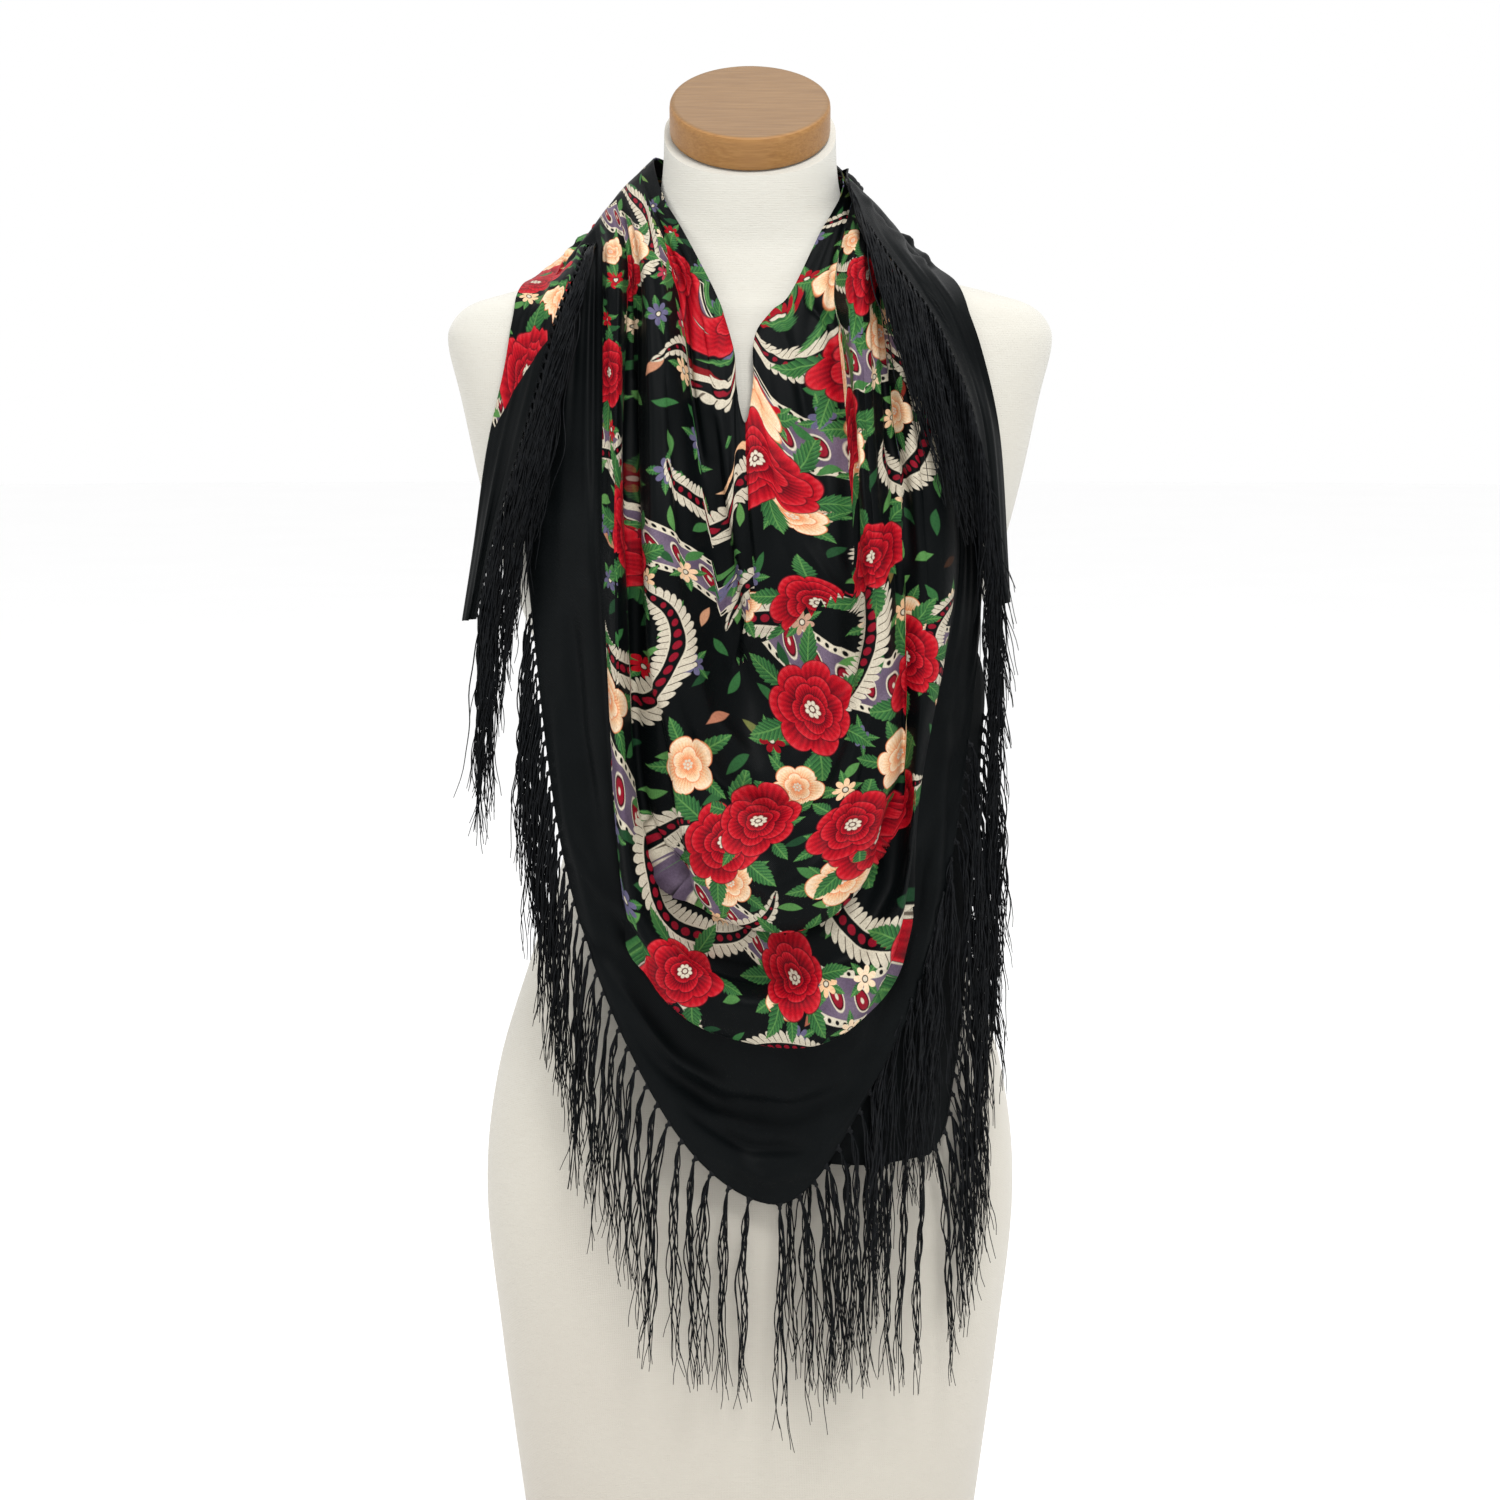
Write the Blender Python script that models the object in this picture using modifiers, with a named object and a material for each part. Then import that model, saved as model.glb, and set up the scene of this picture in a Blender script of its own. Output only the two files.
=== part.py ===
# Square scarf with a knotted fringe, folded on its diagonal and worn as a cowl on a limbless dress form.
# Sizes are in millimetres. X runs to the viewer's right, -Y to the front, and Z up from the form's flat base.
import bpy
import bmesh
import numpy as np
from math import cos, pi, radians, sin
from mathutils import Vector
from mathutils.bvhtree import BVHTree

MM = 0.001

# Line of sight that the front view's widths and heights were read along
VIEW_DISTANCE = 3200.0
VIEW_HEIGHT = 527.0
VIEW_TILT = radians(6.0)

# Dress form
FORM_SIDES = 32
FORM_STEP = 32.0
FORM_SQUARENESS = 2.35
BUST_SIDE = 78.0
BUST_HEIGHT = 642.0
BUST_PROUD = 24.0
BUST_WIDTH = 56.0
BUST_DROP = 66.0
CAP_RADIUS = 51.5
CAP_THICK = 23.5
CAP_EDGE = 2.0
CAP_SEAT = 0.3
NECK_TILT = 29.0

# Cloth and fringe
CLOTH = 1.5
LAYER_GAP = 2.2
SEAM_GAP = 0.8
FORM_GAP = 2.1
UNDER_GAP = 0.8
END_GAP = 3.8
FRONT_ACROSS = 64
FRONT_DOWN = 24
END_ACROSS = 7
END_DOWN = 24
SETTLINGS = 4
UNDER_FRINGE_TOP = 4
LEFT_FRINGE_TOP = 11
RIGHT_FRINGE_TOP = 8
LAP_PROUD = 4.5
LAP_WIDE = 15.0
LAP_STEP = 5.0
LAP_START = 1.1
LAP_END = 1.85
LAP_FADE = 0.5
FRINGE_LONG = 150.0
LOCK_PITCH = 12.0
LOCK_WIDE = 2.2
LOCK_SWAY = 3.0
STEEP_SHARE = 0.4
LOCK_THICK = 1.3
LOCK_LAYERS = 5
LOCK_LAYER = 2.0
LOCK_CLEAR = 2.2
LOCK_REACH = 3.6
STRIP_TALL = 3.0

# Rings of the form: height, half width, depth to the front and to the back, and forward tilt in degrees
RINGS = (
    # height half front back tilt
    (0, 143, 90, 98, 0),
    (40, 149, 95, 104, 0),
    (140, 162, 103, 116, 0),
    (240, 172, 108, 124, 0),
    (320, 164, 104, 118, 0),
    (400, 140, 94, 98, 0),
    (468, 120, 84, 80, 0),
    (540, 126, 90, 84, 0),
    (600, 140, 98, 92, 0),
    (650, 160, 104, 98, 0),
    (700, 174, 102, 104, 0),
    (755, 186, 90, 104, 0),
    (788, 194, 78, 100, 0),
    (803, 192, 71, 95, 0),
    (815, 180, 66, 90, 0),
    (823, 155, 61, 85, 0),
    (831, 125, 57, 80, 0),
    (845, 95, 52, 74, 1),
    (861, 73, 49, 67, 6),
    (880, 60, 50, 60, 14),
    (900, 56, 53, 55, 22),
    (925, 55, 57, 51, 29),
)

# Folds of the front, from the neckline out to the hem. Each is a U: a leg down from the left shoulder,
# a round bottom, and a leg up to the right shoulder. Widths and heights are as seen from the front.
FOLDS = (
    # leftTop leftMid leftSide leftSpring low lowHeight roundL roundR rightSpring rightSide rightMid rightTop liftL liftLow liftR
    (-25, -16, -10, 784, -3, 740, 1.7, 1.7, 796, 3, 14, 29, 5, 7, 5),
    (-37, -24, -13, 690, -2, 648, 1.7, 1.6, 700, 22, 32, 42, 12, 14, 7),
    (-46, -34, -21, 640, 6, 566, 1.8, 2.0, 640, 64, 60, 54, 5, 8, 4),
    (-57, -50, -46, 600, 16, 500, 2.0, 2.2, 600, 80, 72, 66, 17, 30, 17),
    (-68, -64, -62, 560, 20, 432, 2.1, 2.3, 560, 91, 82, 74, 16, 44, 16),
    (-72, -71, -69, 520, 20, 409, 2.2, 2.2, 540, 96, 88, 79, 8, 38, 9),
    (-77, -78, -74, 520, 24, 418, 2.2, 2.2, 530, 100, 96, 83, 3, 18, 4),
    (-86, -87, -82, 490, 26, 352, 2.3, 2.3, 510, 107, 116, 90, 18, 36, 15),
    (-94, -94, -87, 480, 25, 334, 2.4, 2.4, 500, 110, 132, 97, 12, 27, 11),
    (-98, -98, -87, 480, 24, 341, 2.4, 2.4, 500, 109, 135, 99, 3, 11, 3),
    (-104, -105, -96, 520, 21, 316, 2.1, 2.3, 500, 115, 138, 102, 2, 8, 2),
    (-111, -117, -114, 540, 18, 284, 1.9, 2.1, 500, 124, 141, 107, 2, 4, 2),
    (-117, -130, -128, 570, 15, 258, 1.85, 2.0, 500, 133, 145, 112, 2, 9, 2),
    (-123, -146, -142, 620, 14, 232, 1.8, 1.95, 543, 143, 149, 117, 2, 6, 2),
)
TOP_HEIGHT = 829.0

# Where the folds gather over the shoulders and behind the neck, from the neckline to the hem
GATHER = {
    "leftCrest": ((-62, 6, 904), (-112, 12, 846)),
    "rightCrest": ((58, 6, 897), (113, 12, 836)),
    "leftBack": ((-44, 50, 905), (-82, 82, 826)),
    "rightBack": ((42, 50, 901), (80, 82, 822)),
    "nape": ((0, 62, 906), (0, 96, 812)),
}
CREST_BOW = 9.0
NAPE_FOLDS = 3
NAPE_PROUD = 5.0

# Second layer of the folded square, which shows at the lower right: straight rows from side to side
UNDER = (
    # height left right sag
    (640, 20, 118, 0),
    (585, 0, 150, 0),
    (520, -20, 150, 0),
    (421, -30, 143, 0),
    (356, -25, 138, 0),
    (310, -15, 132, 3),
    (281, 5, 127, 7),
    (264, 20, 117, 7),
)

# Ends of the scarf, from the nape over a shoulder to the tip: the hem that faces the middle, then the outer side.
# Behind the shoulders each row gives the real depth, and in front how far the cloth lies off what is under it.
LEFT_END = (
    # hemX hemHeight hemDepth outerX outerHeight outerDepth
    (6, 902, 76, 2, 848, 100),
    (-18, 902, 78, -30, 846, 102),
    (-60, 893, 62, -84, 842, 90),
    (-90, 872, 30, -116, 838, 62),
    (-99, 864, 6, -130, 843, 20),
    (-112, 838, -24, -143, 824, -4),
    (-124, 812, -48, -153, 806, -22),
    (-134, 778, -66, -158, 776, -36),
    (-150, 722, -74, -171, 722, -48),
    (-167, 664, -74, -179, 662, -54),
    (-178, 612, -68, -187, 611, -60),
)
RIGHT_END = (
    # hemX hemHeight hemDepth outerX outerHeight outerDepth
    (-50, 902, 78, -66, 848, 104),
    (-30, 908, 86, -40, 842, 111),
    (14, 910, 86, 18, 842, 112),
    (47, 912, 60, 78, 846, 96),
    (58, 905, 22, 106, 846, 62),
    (64, 893, -16, 112, 848, 26),
    (76, 869, -52, 117, 840, 6),
    (98, 838, -70, 132, 826, -10),
    (115, 816, -82, 143, 806, -26),
    (128, 792, -92, 150, 786, -42),
    (143, 754, -98, 159, 752, -60),
    (150, 720, -97, 164, 716, -66),
    (156, 660, -92, 167, 658, -68),
    (162, 622, -88, 169, 623, -76),
)
END_FOLD = 4.0

# Colours: cover, wood, cloth and fringe
MATERIALS = {
    "cover": ((0.80, 0.77, 0.68), 0.75),
    "wood": ((0.60, 0.38, 0.18), 0.42),
    "cloth": ((0.05, 0.015, 0.02), 0.62),
    "fringe": ((0.012, 0.013, 0.015), 0.55),
}


def spline(rows, steps, closed=False):
    """Catmull-Rom curve through rows of numbers. steps holds places along it, in rows."""
    rows = np.asarray(rows, float)
    steps = np.asarray(steps, float)
    count = len(rows)
    start = np.floor(steps).astype(int)
    if closed:
        index = [(start + k) % count for k in (-1, 0, 1, 2)]
    else:
        start = np.clip(start, 0, count - 2)
        index = [np.clip(start + k, 0, count - 1) for k in (-1, 0, 1, 2)]
    t = (steps - start).reshape(-1, *([1] * (rows.ndim - 1)))
    before, here, after, beyond = (rows[i] for i in index)
    return 0.5 * (
        2 * here
        + (after - before) * t
        + (2 * before - 5 * here + 4 * after - beyond) * t**2
        + (3 * here - before - 3 * after + beyond) * t**3
    )


def ring_at(height):
    """Half width and the depths to front and back of the form at a height, without the tilt."""
    rings = np.array(RINGS, float)
    return [np.interp(height, rings[:, 0], rings[:, k]) for k in (1, 2, 3)]


def bust_at(x, z):
    """How far the bust stands proud at a width and height."""
    side = (np.abs(x) - BUST_SIDE) / BUST_WIDTH
    rise = (z - BUST_HEIGHT) / BUST_DROP
    return BUST_PROUD * np.exp(-(side**2) - rise**2)


# Grid that holds how far forward, or back, the form and then the cloth on it reach
FIELD_STEP = 4.0
FIELD_X = np.arange(-240.0, 241.0, FIELD_STEP)
FIELD_Z = np.arange(0.0, 961.0, FIELD_STEP)
OFF_FORM = 0.5
SOFTENING = 5


def soften(field, passes):
    """Averages each cell with its neighbours, a few times."""
    for _ in range(passes):
        for axis in (0, 1):
            wide = np.pad(field, [(1, 1) if k == axis else (0, 0) for k in (0, 1)], "edge")
            low, high = (np.take(wide, range(a, a + field.shape[axis]), axis) for a in (0, 2))
            field = 0.25 * low + 0.5 * field + 0.25 * high
    return field


def hang_field(front):
    """How far out cloth hangs: the form's own depth, or that of anything above it, softened."""
    x, z = np.meshgrid(FIELD_X, FIELD_Z, indexing="ij")
    half, ahead, behind = ring_at(z)
    depth = ahead if front else behind
    share = np.clip(1 - (np.abs(x) / half) ** FORM_SQUARENESS, 0, 1) ** (1 / FORM_SQUARENESS)
    field = depth * share - OFF_FORM * np.clip(np.abs(x) - half, 0, None)
    if front:
        field = field + bust_at(x, z) * (share > 0)
    hung = np.maximum.accumulate(field[:, ::-1], axis=1)[:, ::-1]
    return np.maximum(soften(hung, SOFTENING), field)


def read_field(field, x, z):
    """The field's value at widths and heights."""
    column = np.clip((x - FIELD_X[0]) / FIELD_STEP, 0, len(FIELD_X) - 1.001)
    row = np.clip((z - FIELD_Z[0]) / FIELD_STEP, 0, len(FIELD_Z) - 1.001)
    i, j = column.astype(int), row.astype(int)
    u, v = column - i, row - j
    low = field[i, j] * (1 - u) + field[i + 1, j] * u
    high = field[i, j + 1] * (1 - u) + field[i + 1, j + 1] * u
    return low * (1 - v) + high * v


def sight(x, z, depth):
    """Slides a point of the front view along its line of sight to its real depth in front of the middle."""
    rise = z - VIEW_HEIGHT
    reach = VIEW_DISTANCE * cos(VIEW_TILT)
    along = (reach - depth) / (reach + rise * sin(VIEW_TILT))
    drop = VIEW_DISTANCE * sin(VIEW_TILT)
    return x * along, VIEW_HEIGHT + drop + along * (rise * cos(VIEW_TILT) - drop)


def sight_on(field, x, z, lift):
    """The same, for points that lie a given lift off a field. Gives width, height and depth."""
    real_x, real_z = x, z
    for _ in range(4):
        depth = read_field(field, real_x, real_z) + lift
        real_x, real_z = sight(x, z, depth)
    return real_x, real_z, depth


def grid_mesh(points, closed=False, flip=False):
    """Vertices and faces of a grid of points, rows by columns."""
    rows, columns = points.shape[:2]
    faces = []
    for i in range(rows - 1):
        for j in range(columns if closed else columns - 1):
            k = (j + 1) % columns
            face = (i * columns + j, i * columns + k, (i + 1) * columns + k, (i + 1) * columns + j)
            faces.append(face[::-1] if flip else face)
    return points.reshape(-1, 3), faces


def tree_of(vertices, faces):
    """Search tree of a mesh, in millimetres."""
    return BVHTree.FromPolygons([tuple(v) for v in vertices], faces)


def push_out(points, tree, gap, reach=30.0, passes=5):
    """Moves the points that lie nearer to a surface than the gap, or within it, out along its normal."""
    flat = points.reshape(-1, 3).copy()
    for _ in range(passes):
        for k, point in enumerate(flat):
            place, normal, _, far = tree.find_nearest(Vector(point), reach)
            if place is None:
                continue
            away = Vector(point) - place
            height = away.dot(normal)
            aside = (away - normal * height).length
            if height < gap and aside < gap + 2.0:
                flat[k] = Vector(point) + normal * (gap - height)
    return flat.reshape(points.shape)


def even_out(grid):
    """Averages each point of a grid with its neighbours along it, and keeps its two ends."""
    smooth = grid.copy()
    smooth[1:-1] = 0.25 * grid[:-2] + 0.5 * grid[1:-1] + 0.25 * grid[2:]
    return smooth


def make_object(name, vertices, faces, finish):
    """Object in the part's collection, with its own material, from points in millimetres."""
    mesh = bpy.data.meshes.new(name)
    mesh.from_pydata([tuple(float(c) * MM for c in v) for v in vertices], [], faces)
    mesh.shade_smooth()
    mesh.set_sharp_from_angle(angle=radians(50))
    made = bpy.data.objects.new(name, mesh)
    part.objects.link(made)
    colour, rough = MATERIALS[finish]
    material = bpy.data.materials.new(name)
    material.use_nodes = True
    shader = material.node_tree.nodes["Principled BSDF"]
    shader.inputs["Base Color"].default_value = (*colour, 1)
    shader.inputs["Roughness"].default_value = rough
    shader.inputs["Metallic"].default_value = 0.0
    mesh.materials.append(material)
    return made


def thicken(made):
    """Gives a cloth sheet its wall, inward from the modelled face."""
    wall = made.modifiers.new("wall", "SOLIDIFY")
    wall.thickness = CLOTH * MM
    wall.offset = -1.0
    wall.use_even_offset = False


def form_points():
    """Rings of the form, from the base to the tilted neck, as a grid of points."""
    rings = np.array(RINGS, float)
    height = rings[:, 0]
    gaps = np.maximum(np.round(np.diff(height) / FORM_STEP), 1).astype(int)
    steps = [k + j / n for k, n in enumerate(gaps) for j in range(n)]
    steps.append(float(len(rings) - 1))
    angle = np.arange(FORM_SIDES) * 2 * pi / FORM_SIDES
    power = 2 / FORM_SQUARENESS
    side = np.sign(np.cos(angle)) * np.abs(np.cos(angle)) ** power
    deep = np.sign(np.sin(angle)) * np.abs(np.sin(angle)) ** power
    grid = []
    for z, half, front, back, tilt in spline(rings, steps):
        x = half * side
        y = np.where(deep < 0, front, back) * deep
        y = y - bust_at(x, z) * np.clip(-deep, 0, 1) ** 0.5
        lean = radians(float(tilt))
        grid.append(np.stack([x, y * cos(lean), z + y * sin(lean)], 1))
    grid = np.array(grid)
    grid[0, :, 2] = 0.0
    return grid


def build_form():
    """The dress form, closed flat at its base and on the neck's tilted top, and its wooden cap."""
    grid = form_points()
    vertices, faces = grid_mesh(grid, closed=True)
    last = len(vertices) - FORM_SIDES
    closed = faces + [tuple(range(FORM_SIDES))[::-1], tuple(range(last, last + FORM_SIDES))]
    make_object("form_torso", vertices, closed, "cover")

    lean = radians(NECK_TILT)
    up = Vector((0, -sin(lean), cos(lean)))
    top = Vector(grid[-1].mean(0)) + up * (CAP_SEAT + CAP_THICK / 2)
    bpy.ops.mesh.primitive_cylinder_add(vertices=40, radius=CAP_RADIUS * MM, depth=CAP_THICK * MM)
    cap = bpy.context.object
    cap.name = cap.data.name = "form_neck_cap"
    cap.location = top * MM
    cap.rotation_euler = (lean, 0, 0)
    for holder in cap.users_collection:
        holder.objects.unlink(cap)
    part.objects.link(cap)
    edge = cap.modifiers.new("edge", "BEVEL")
    edge.width = CAP_EDGE * MM
    edge.segments = 2
    edge.limit_method = "ANGLE"
    cap.data.shade_smooth()
    cap.data.set_sharp_from_angle(angle=radians(40))
    wood = bpy.data.materials.new("form_neck_cap")
    wood.use_nodes = True
    shader = wood.node_tree.nodes["Principled BSDF"]
    shader.inputs["Base Color"].default_value = (*MATERIALS["wood"][0], 1)
    shader.inputs["Roughness"].default_value = MATERIALS["wood"][1]
    cap.data.materials.append(wood)
    triangles = faces + [tuple(range(last, last + FORM_SIDES))]
    return tree_of(vertices, triangles)


def fold_stations(hang):
    """Sixteen points round each fold, from the nape over the left shoulder, the front and the right shoulder.

    Gives real width, height and depth, the lift off the form, and how much the front field counts.
    """
    table = []
    last = len(FOLDS) - 1
    for k, row in enumerate(FOLDS):
        lt, lm, ls, lz, low, low_z, n_left, n_right, rz, rs, rm, rt, lift_l, lift_low, lift_r = row
        seen = [(lt, TOP_HEIGHT, lift_l), (lm, (TOP_HEIGHT + lz) / 2, lift_l), (ls, lz, lift_l)]
        for angle in (radians(32), radians(62)):
            power = 2 / n_left
            out, down = cos(angle) ** power, sin(angle) ** power
            lift = lift_l + (lift_low - lift_l) * sin(angle) ** 2
            seen.append((low + (ls - low) * out, lz - (lz - low_z) * down, lift))
        seen.append((low, low_z, lift_low))
        for angle in (radians(62), radians(32)):
            power = 2 / n_right
            out, down = cos(angle) ** power, sin(angle) ** power
            lift = lift_r + (lift_low - lift_r) * sin(angle) ** 2
            seen.append((low + (rs - low) * out, rz - (rz - low_z) * down, lift))
        seen += [(rs, rz, lift_r), (rm, (TOP_HEIGHT + rz) / 2, lift_r), (rt, TOP_HEIGHT, lift_r)]
        seen = np.array(seen, float)
        x, z, depth = sight_on(hang, seen[:, 0], seen[:, 1], seen[:, 2])
        front = np.stack([x, z, depth, seen[:, 2], np.ones(len(x))], 1)
        share = k / last
        wave = NAPE_PROUD * (1 - cos(2 * pi * NAPE_FOLDS * share))
        behind = {}
        for name, (first, final) in GATHER.items():
            px, py, pz = (a + (b - a) * share for a, b in zip(first, final))
            bow = CREST_BOW * sin(pi * share) if "Crest" in name else 0.0
            proud = wave if name == "nape" or "Back" in name else 0.0
            behind[name] = (px, pz + bow, -(py + proud), 0.0, 0.0)
        rows = [behind["nape"], behind["leftBack"], behind["leftCrest"], *front]
        rows += [behind["rightCrest"], behind["rightBack"]]
        table.append(rows)
    return np.array(table)


def front_grid(hang, across, down):
    """The front's surface, as a grid from the neckline to the hem, each row a loop round the neck."""
    stations = fold_stations(hang)
    folds, count = stations.shape[:2]
    rows = spline(stations, np.linspace(0, folds - 1, down))
    middle = 8.0
    round_neck = np.arange(across) * count / across
    loops = spline(rows.transpose(1, 0, 2), round_neck, closed=True).transpose(1, 0, 2)
    x, z, depth, lift, counts = np.moveaxis(loops, 2, 0)
    aside = x - x[:, [int(np.argmin(np.abs(round_neck - middle)))]]
    ridge = np.exp(-((aside / np.where(aside < 0, LAP_WIDE, LAP_STEP)) ** 2))
    ends = np.linspace(0, folds - 1, down)
    span = np.clip(np.minimum(ends / LAP_START, (LAP_END - ends) / LAP_FADE), 0, 1)
    lap_here = span[:, None] * ridge
    counts = np.clip(counts, 0, 1)
    hung = read_field(hang, x, z) + lift + LAP_PROUD * lap_here
    y = -(counts * hung + (1 - counts) * depth)
    return np.stack([x, y, z], 2), round_neck


def raise_field(field, points):
    """Field of what lies on the form once a cloth is on it: its points, read onto the grid and widened."""
    rows = spline(points, np.linspace(0, len(points) - 1, 5 * len(points)))
    dense = spline(rows.transpose(1, 0, 2), np.linspace(0, points.shape[1] - 1, 5 * points.shape[1]))
    x, y, z = dense.reshape(-1, 3).T
    i = np.round((x - FIELD_X[0]) / FIELD_STEP).astype(int)
    j = np.round((z - FIELD_Z[0]) / FIELD_STEP).astype(int)
    inside = (i >= 0) & (i < len(FIELD_X)) & (j >= 0) & (j < len(FIELD_Z)) & (y < 0)
    raised = field.copy()
    np.maximum.at(raised, (i[inside], j[inside]), -y[inside])
    wide = np.pad(raised, 1, "edge")
    near = [wide[a : a + raised.shape[0], b : b + raised.shape[1]] for a in range(3) for b in range(3)]
    raised = np.max(near, axis=0)
    return np.maximum(soften(raised, SOFTENING), raised)


def under_grid(hang):
    """The second layer: straight rows that hang behind the front panel."""
    across, down = 12, 15
    rows = spline(UNDER, np.linspace(0, len(UNDER) - 1, down))
    side = np.linspace(0, 1, across)
    x = rows[:, 1:2] + (rows[:, 2:3] - rows[:, 1:2]) * side
    z = rows[:, :1] - rows[:, 3:4] * np.sin(pi * side)
    wave = 1.5 * (1 - np.cos(3 * pi * side)) * np.ones_like(x)
    x, z, depth = sight_on(hang, x, z, 0.5 + wave)
    return np.stack([x, -depth, z], 2)


def end_grid(table, fields, across, down):
    """An end of the scarf: rows from its hem to its outer side, along from the nape to the tip."""
    hang, gap = fields
    rows = spline(table, np.linspace(0, len(table) - 1, down))
    share = np.linspace(0, 1, across)[None, :, None]
    hem, outer = rows[:, None, :3], rows[:, None, 3:]
    seen = hem + (outer - hem) * share
    x, z, y = np.moveaxis(seen, 2, 0)
    fold = END_FOLD * np.sin(pi * share[..., 0]) ** 2 * np.sin(2 * pi * share[..., 0] + 0.6)
    x, z = sight(x, z, -y)
    lowest = -(read_field(hang, x, z) + gap)
    ahead = np.clip(-y / 20.0, 0, 1)
    y = np.minimum(y + fold, lowest * ahead + (1 - ahead) * (y + fold))
    return np.stack([x, y, z], 2)


def hem_frame(edge, inner):
    """Directions at a hem's points: along it, out of the cloth's edge, and across its wall to the back."""
    along = np.gradient(edge, axis=0)
    along /= np.linalg.norm(along, axis=1)[:, None]
    out = edge - inner
    out -= np.sum(out * along, 1)[:, None] * along
    out /= np.linalg.norm(out, axis=1)[:, None]
    back = np.cross(along, out)
    back *= np.sign(back[:, 1])[:, None]
    return along, out, back


def clear_of(middle, run, line, marks, out):
    """How far out each mark of a strip goes, so that its straight pieces clear the hem between the marks."""
    share = np.interp(run, marks, np.arange(len(marks)))
    first = np.clip(share.astype(int), 0, len(marks) - 2)
    part_way = (share - first)[:, None]
    chord = line[first] * (1 - part_way) + line[first + 1] * part_way
    bulge = np.clip(np.sum((middle - chord) * out[first], 1), 0, None)
    extra = np.zeros(len(marks))
    np.maximum.at(extra, first, bulge)
    np.maximum.at(extra, first + 1, bulge)
    return extra


def fringe(name, edge, inner, field, shares=(0.0, 0.45, 1.0)):
    """A narrow strip along a hem, parted from it by the seam gap, with locks that hang from its outer face.

    edge is the hem and inner the cloth's next row of points. Steep stretches get fewer locks, and the locks
    hang in a few layers one before the other, so that all stand apart. field is what they hang on.
    """
    along, out, back = hem_frame(edge, inner)
    middle = edge + back * CLOTH / 2
    lengths = np.linalg.norm(np.diff(middle, axis=0), axis=1)
    run = np.concatenate([[0], np.cumsum(lengths)])
    flat = STEEP_SHARE + (1 - STEEP_SHARE) * np.abs(along[:, 0])
    room = np.concatenate([[0], np.cumsum(lengths * (flat[1:] + flat[:-1]) / 2)])
    locks = int(room[-1] / LOCK_PITCH)
    starts = np.interp((np.arange(locks) + 0.5) / locks * room[-1], room, run)
    marks = [0.0]
    for start in starts:
        marks += [start - LOCK_WIDE / 2, start + LOCK_WIDE / 2]
    marks.append(run[-1])
    line, way, out, back = (
        np.stack([np.interp(marks, run, values[:, k]) for k in range(3)], 1)
        for values in (middle, along, out, back)
    )
    line = line + out * clear_of(middle, run, line, np.array(marks), out)[:, None]
    vertices = []
    for point, o, n in zip(line, out, back):
        near, far, thick = point + o * SEAM_GAP, point + o * (SEAM_GAP + STRIP_TALL), n * LOCK_THICK / 2
        vertices += [near - thick, near + thick, far + thick, far - thick]
    faces = [(0, 1, 2, 3), tuple(4 * (len(line) - 1) + c for c in (3, 2, 1, 0))]
    for k in range(len(line) - 1):
        a, b = 4 * k, 4 * (k + 1)
        faces += [(a, a + 1, b + 1, b), (a, a + 3, b + 3, b), (a + 1, a + 2, b + 2, b + 1)]
        if k % 2 == 0:
            faces.append((a + 3, a + 2, b + 2, b + 3))
    down = np.array([0.0, 0.0, -1.0])
    hanging = []
    rising = np.argsort(line[:, 2])
    for k in range(locks):
        a, b = 4 * (2 * k + 1), 4 * (2 * k + 2)
        ring = [a + 3, a + 2, b + 2, b + 3]
        o, w = out[2 * k + 1], way[2 * k + 1]
        top = np.mean([vertices[c] for c in ring], 0)
        turn = 1.0 if w[0] * -o[2] + w[2] * o[0] > 0 else -1.0
        layer = LOCK_LAYER * (k % LOCK_LAYERS)
        sway = LOCK_SWAY * (o[0] + (1 - abs(o[0])) * sin(0.45 * k + len(name)))
        long = FRINGE_LONG * (1 + 0.05 * sin(0.6 * k))
        first = top + o * LOCK_REACH + down * 2
        drop = np.linspace(0, long, 40)
        path = read_field(field, first[0] + sway * (drop / long) ** 1.5, first[2] - drop) + LOCK_THICK
        for step, share in enumerate(shares):
            lean = o + down if share == 0 else down
            lean = lean / np.linalg.norm(lean)
            wide = turn * np.array([-lean[2], 0, lean[0]])
            centre = first + np.array([sway * share**1.5, 0.0, -long * share])
            past = (share + shares[max(step - 1, 0)]) / 2 if share else 0.0
            beyond = (share + shares[min(step + 1, len(shares) - 1)]) / 2
            rest = path[int(past * 39) : int(beyond * 39) + 1].max()
            hem_depth = np.interp(centre[2], line[rising, 2], -line[rising, 1]) + LOCK_CLEAR
            if share == 0:
                hem_depth = -first[1]
            centre[1] = -max(hem_depth, rest) - layer * min(1, 0.4 + share)
            slim = 1 - 0.4 * share
            fresh = len(vertices)
            for u, v in ((-1, -1), (-1, 1), (1, 1), (1, -1)):
                side = np.array([0.0, v * slim * LOCK_THICK / 2, 0.0])
                vertices.append(centre + u * slim * wide * LOCK_WIDE / 2 + side)
            new = [fresh, fresh + 1, fresh + 2, fresh + 3]
            for c in range(4):
                d = (c + 1) % 4
                faces.append((ring[c], ring[d], new[d], new[c]))
            ring = new
            hanging.append(centre)
        faces.append(tuple(ring))
    made = make_object(name, vertices, faces, "fringe")
    fix = bmesh.new()
    fix.from_mesh(made.data)
    bmesh.ops.recalc_face_normals(fix, faces=fix.faces)
    fix.to_mesh(made.data)
    fix.free()
    locks_shown = np.array(hanging).reshape(locks, len(shares), 3)
    drops = spline(locks_shown.transpose(1, 0, 2), np.linspace(0, len(shares) - 1, 50))
    return raise_spots(field, drops.reshape(-1, 3))


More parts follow.
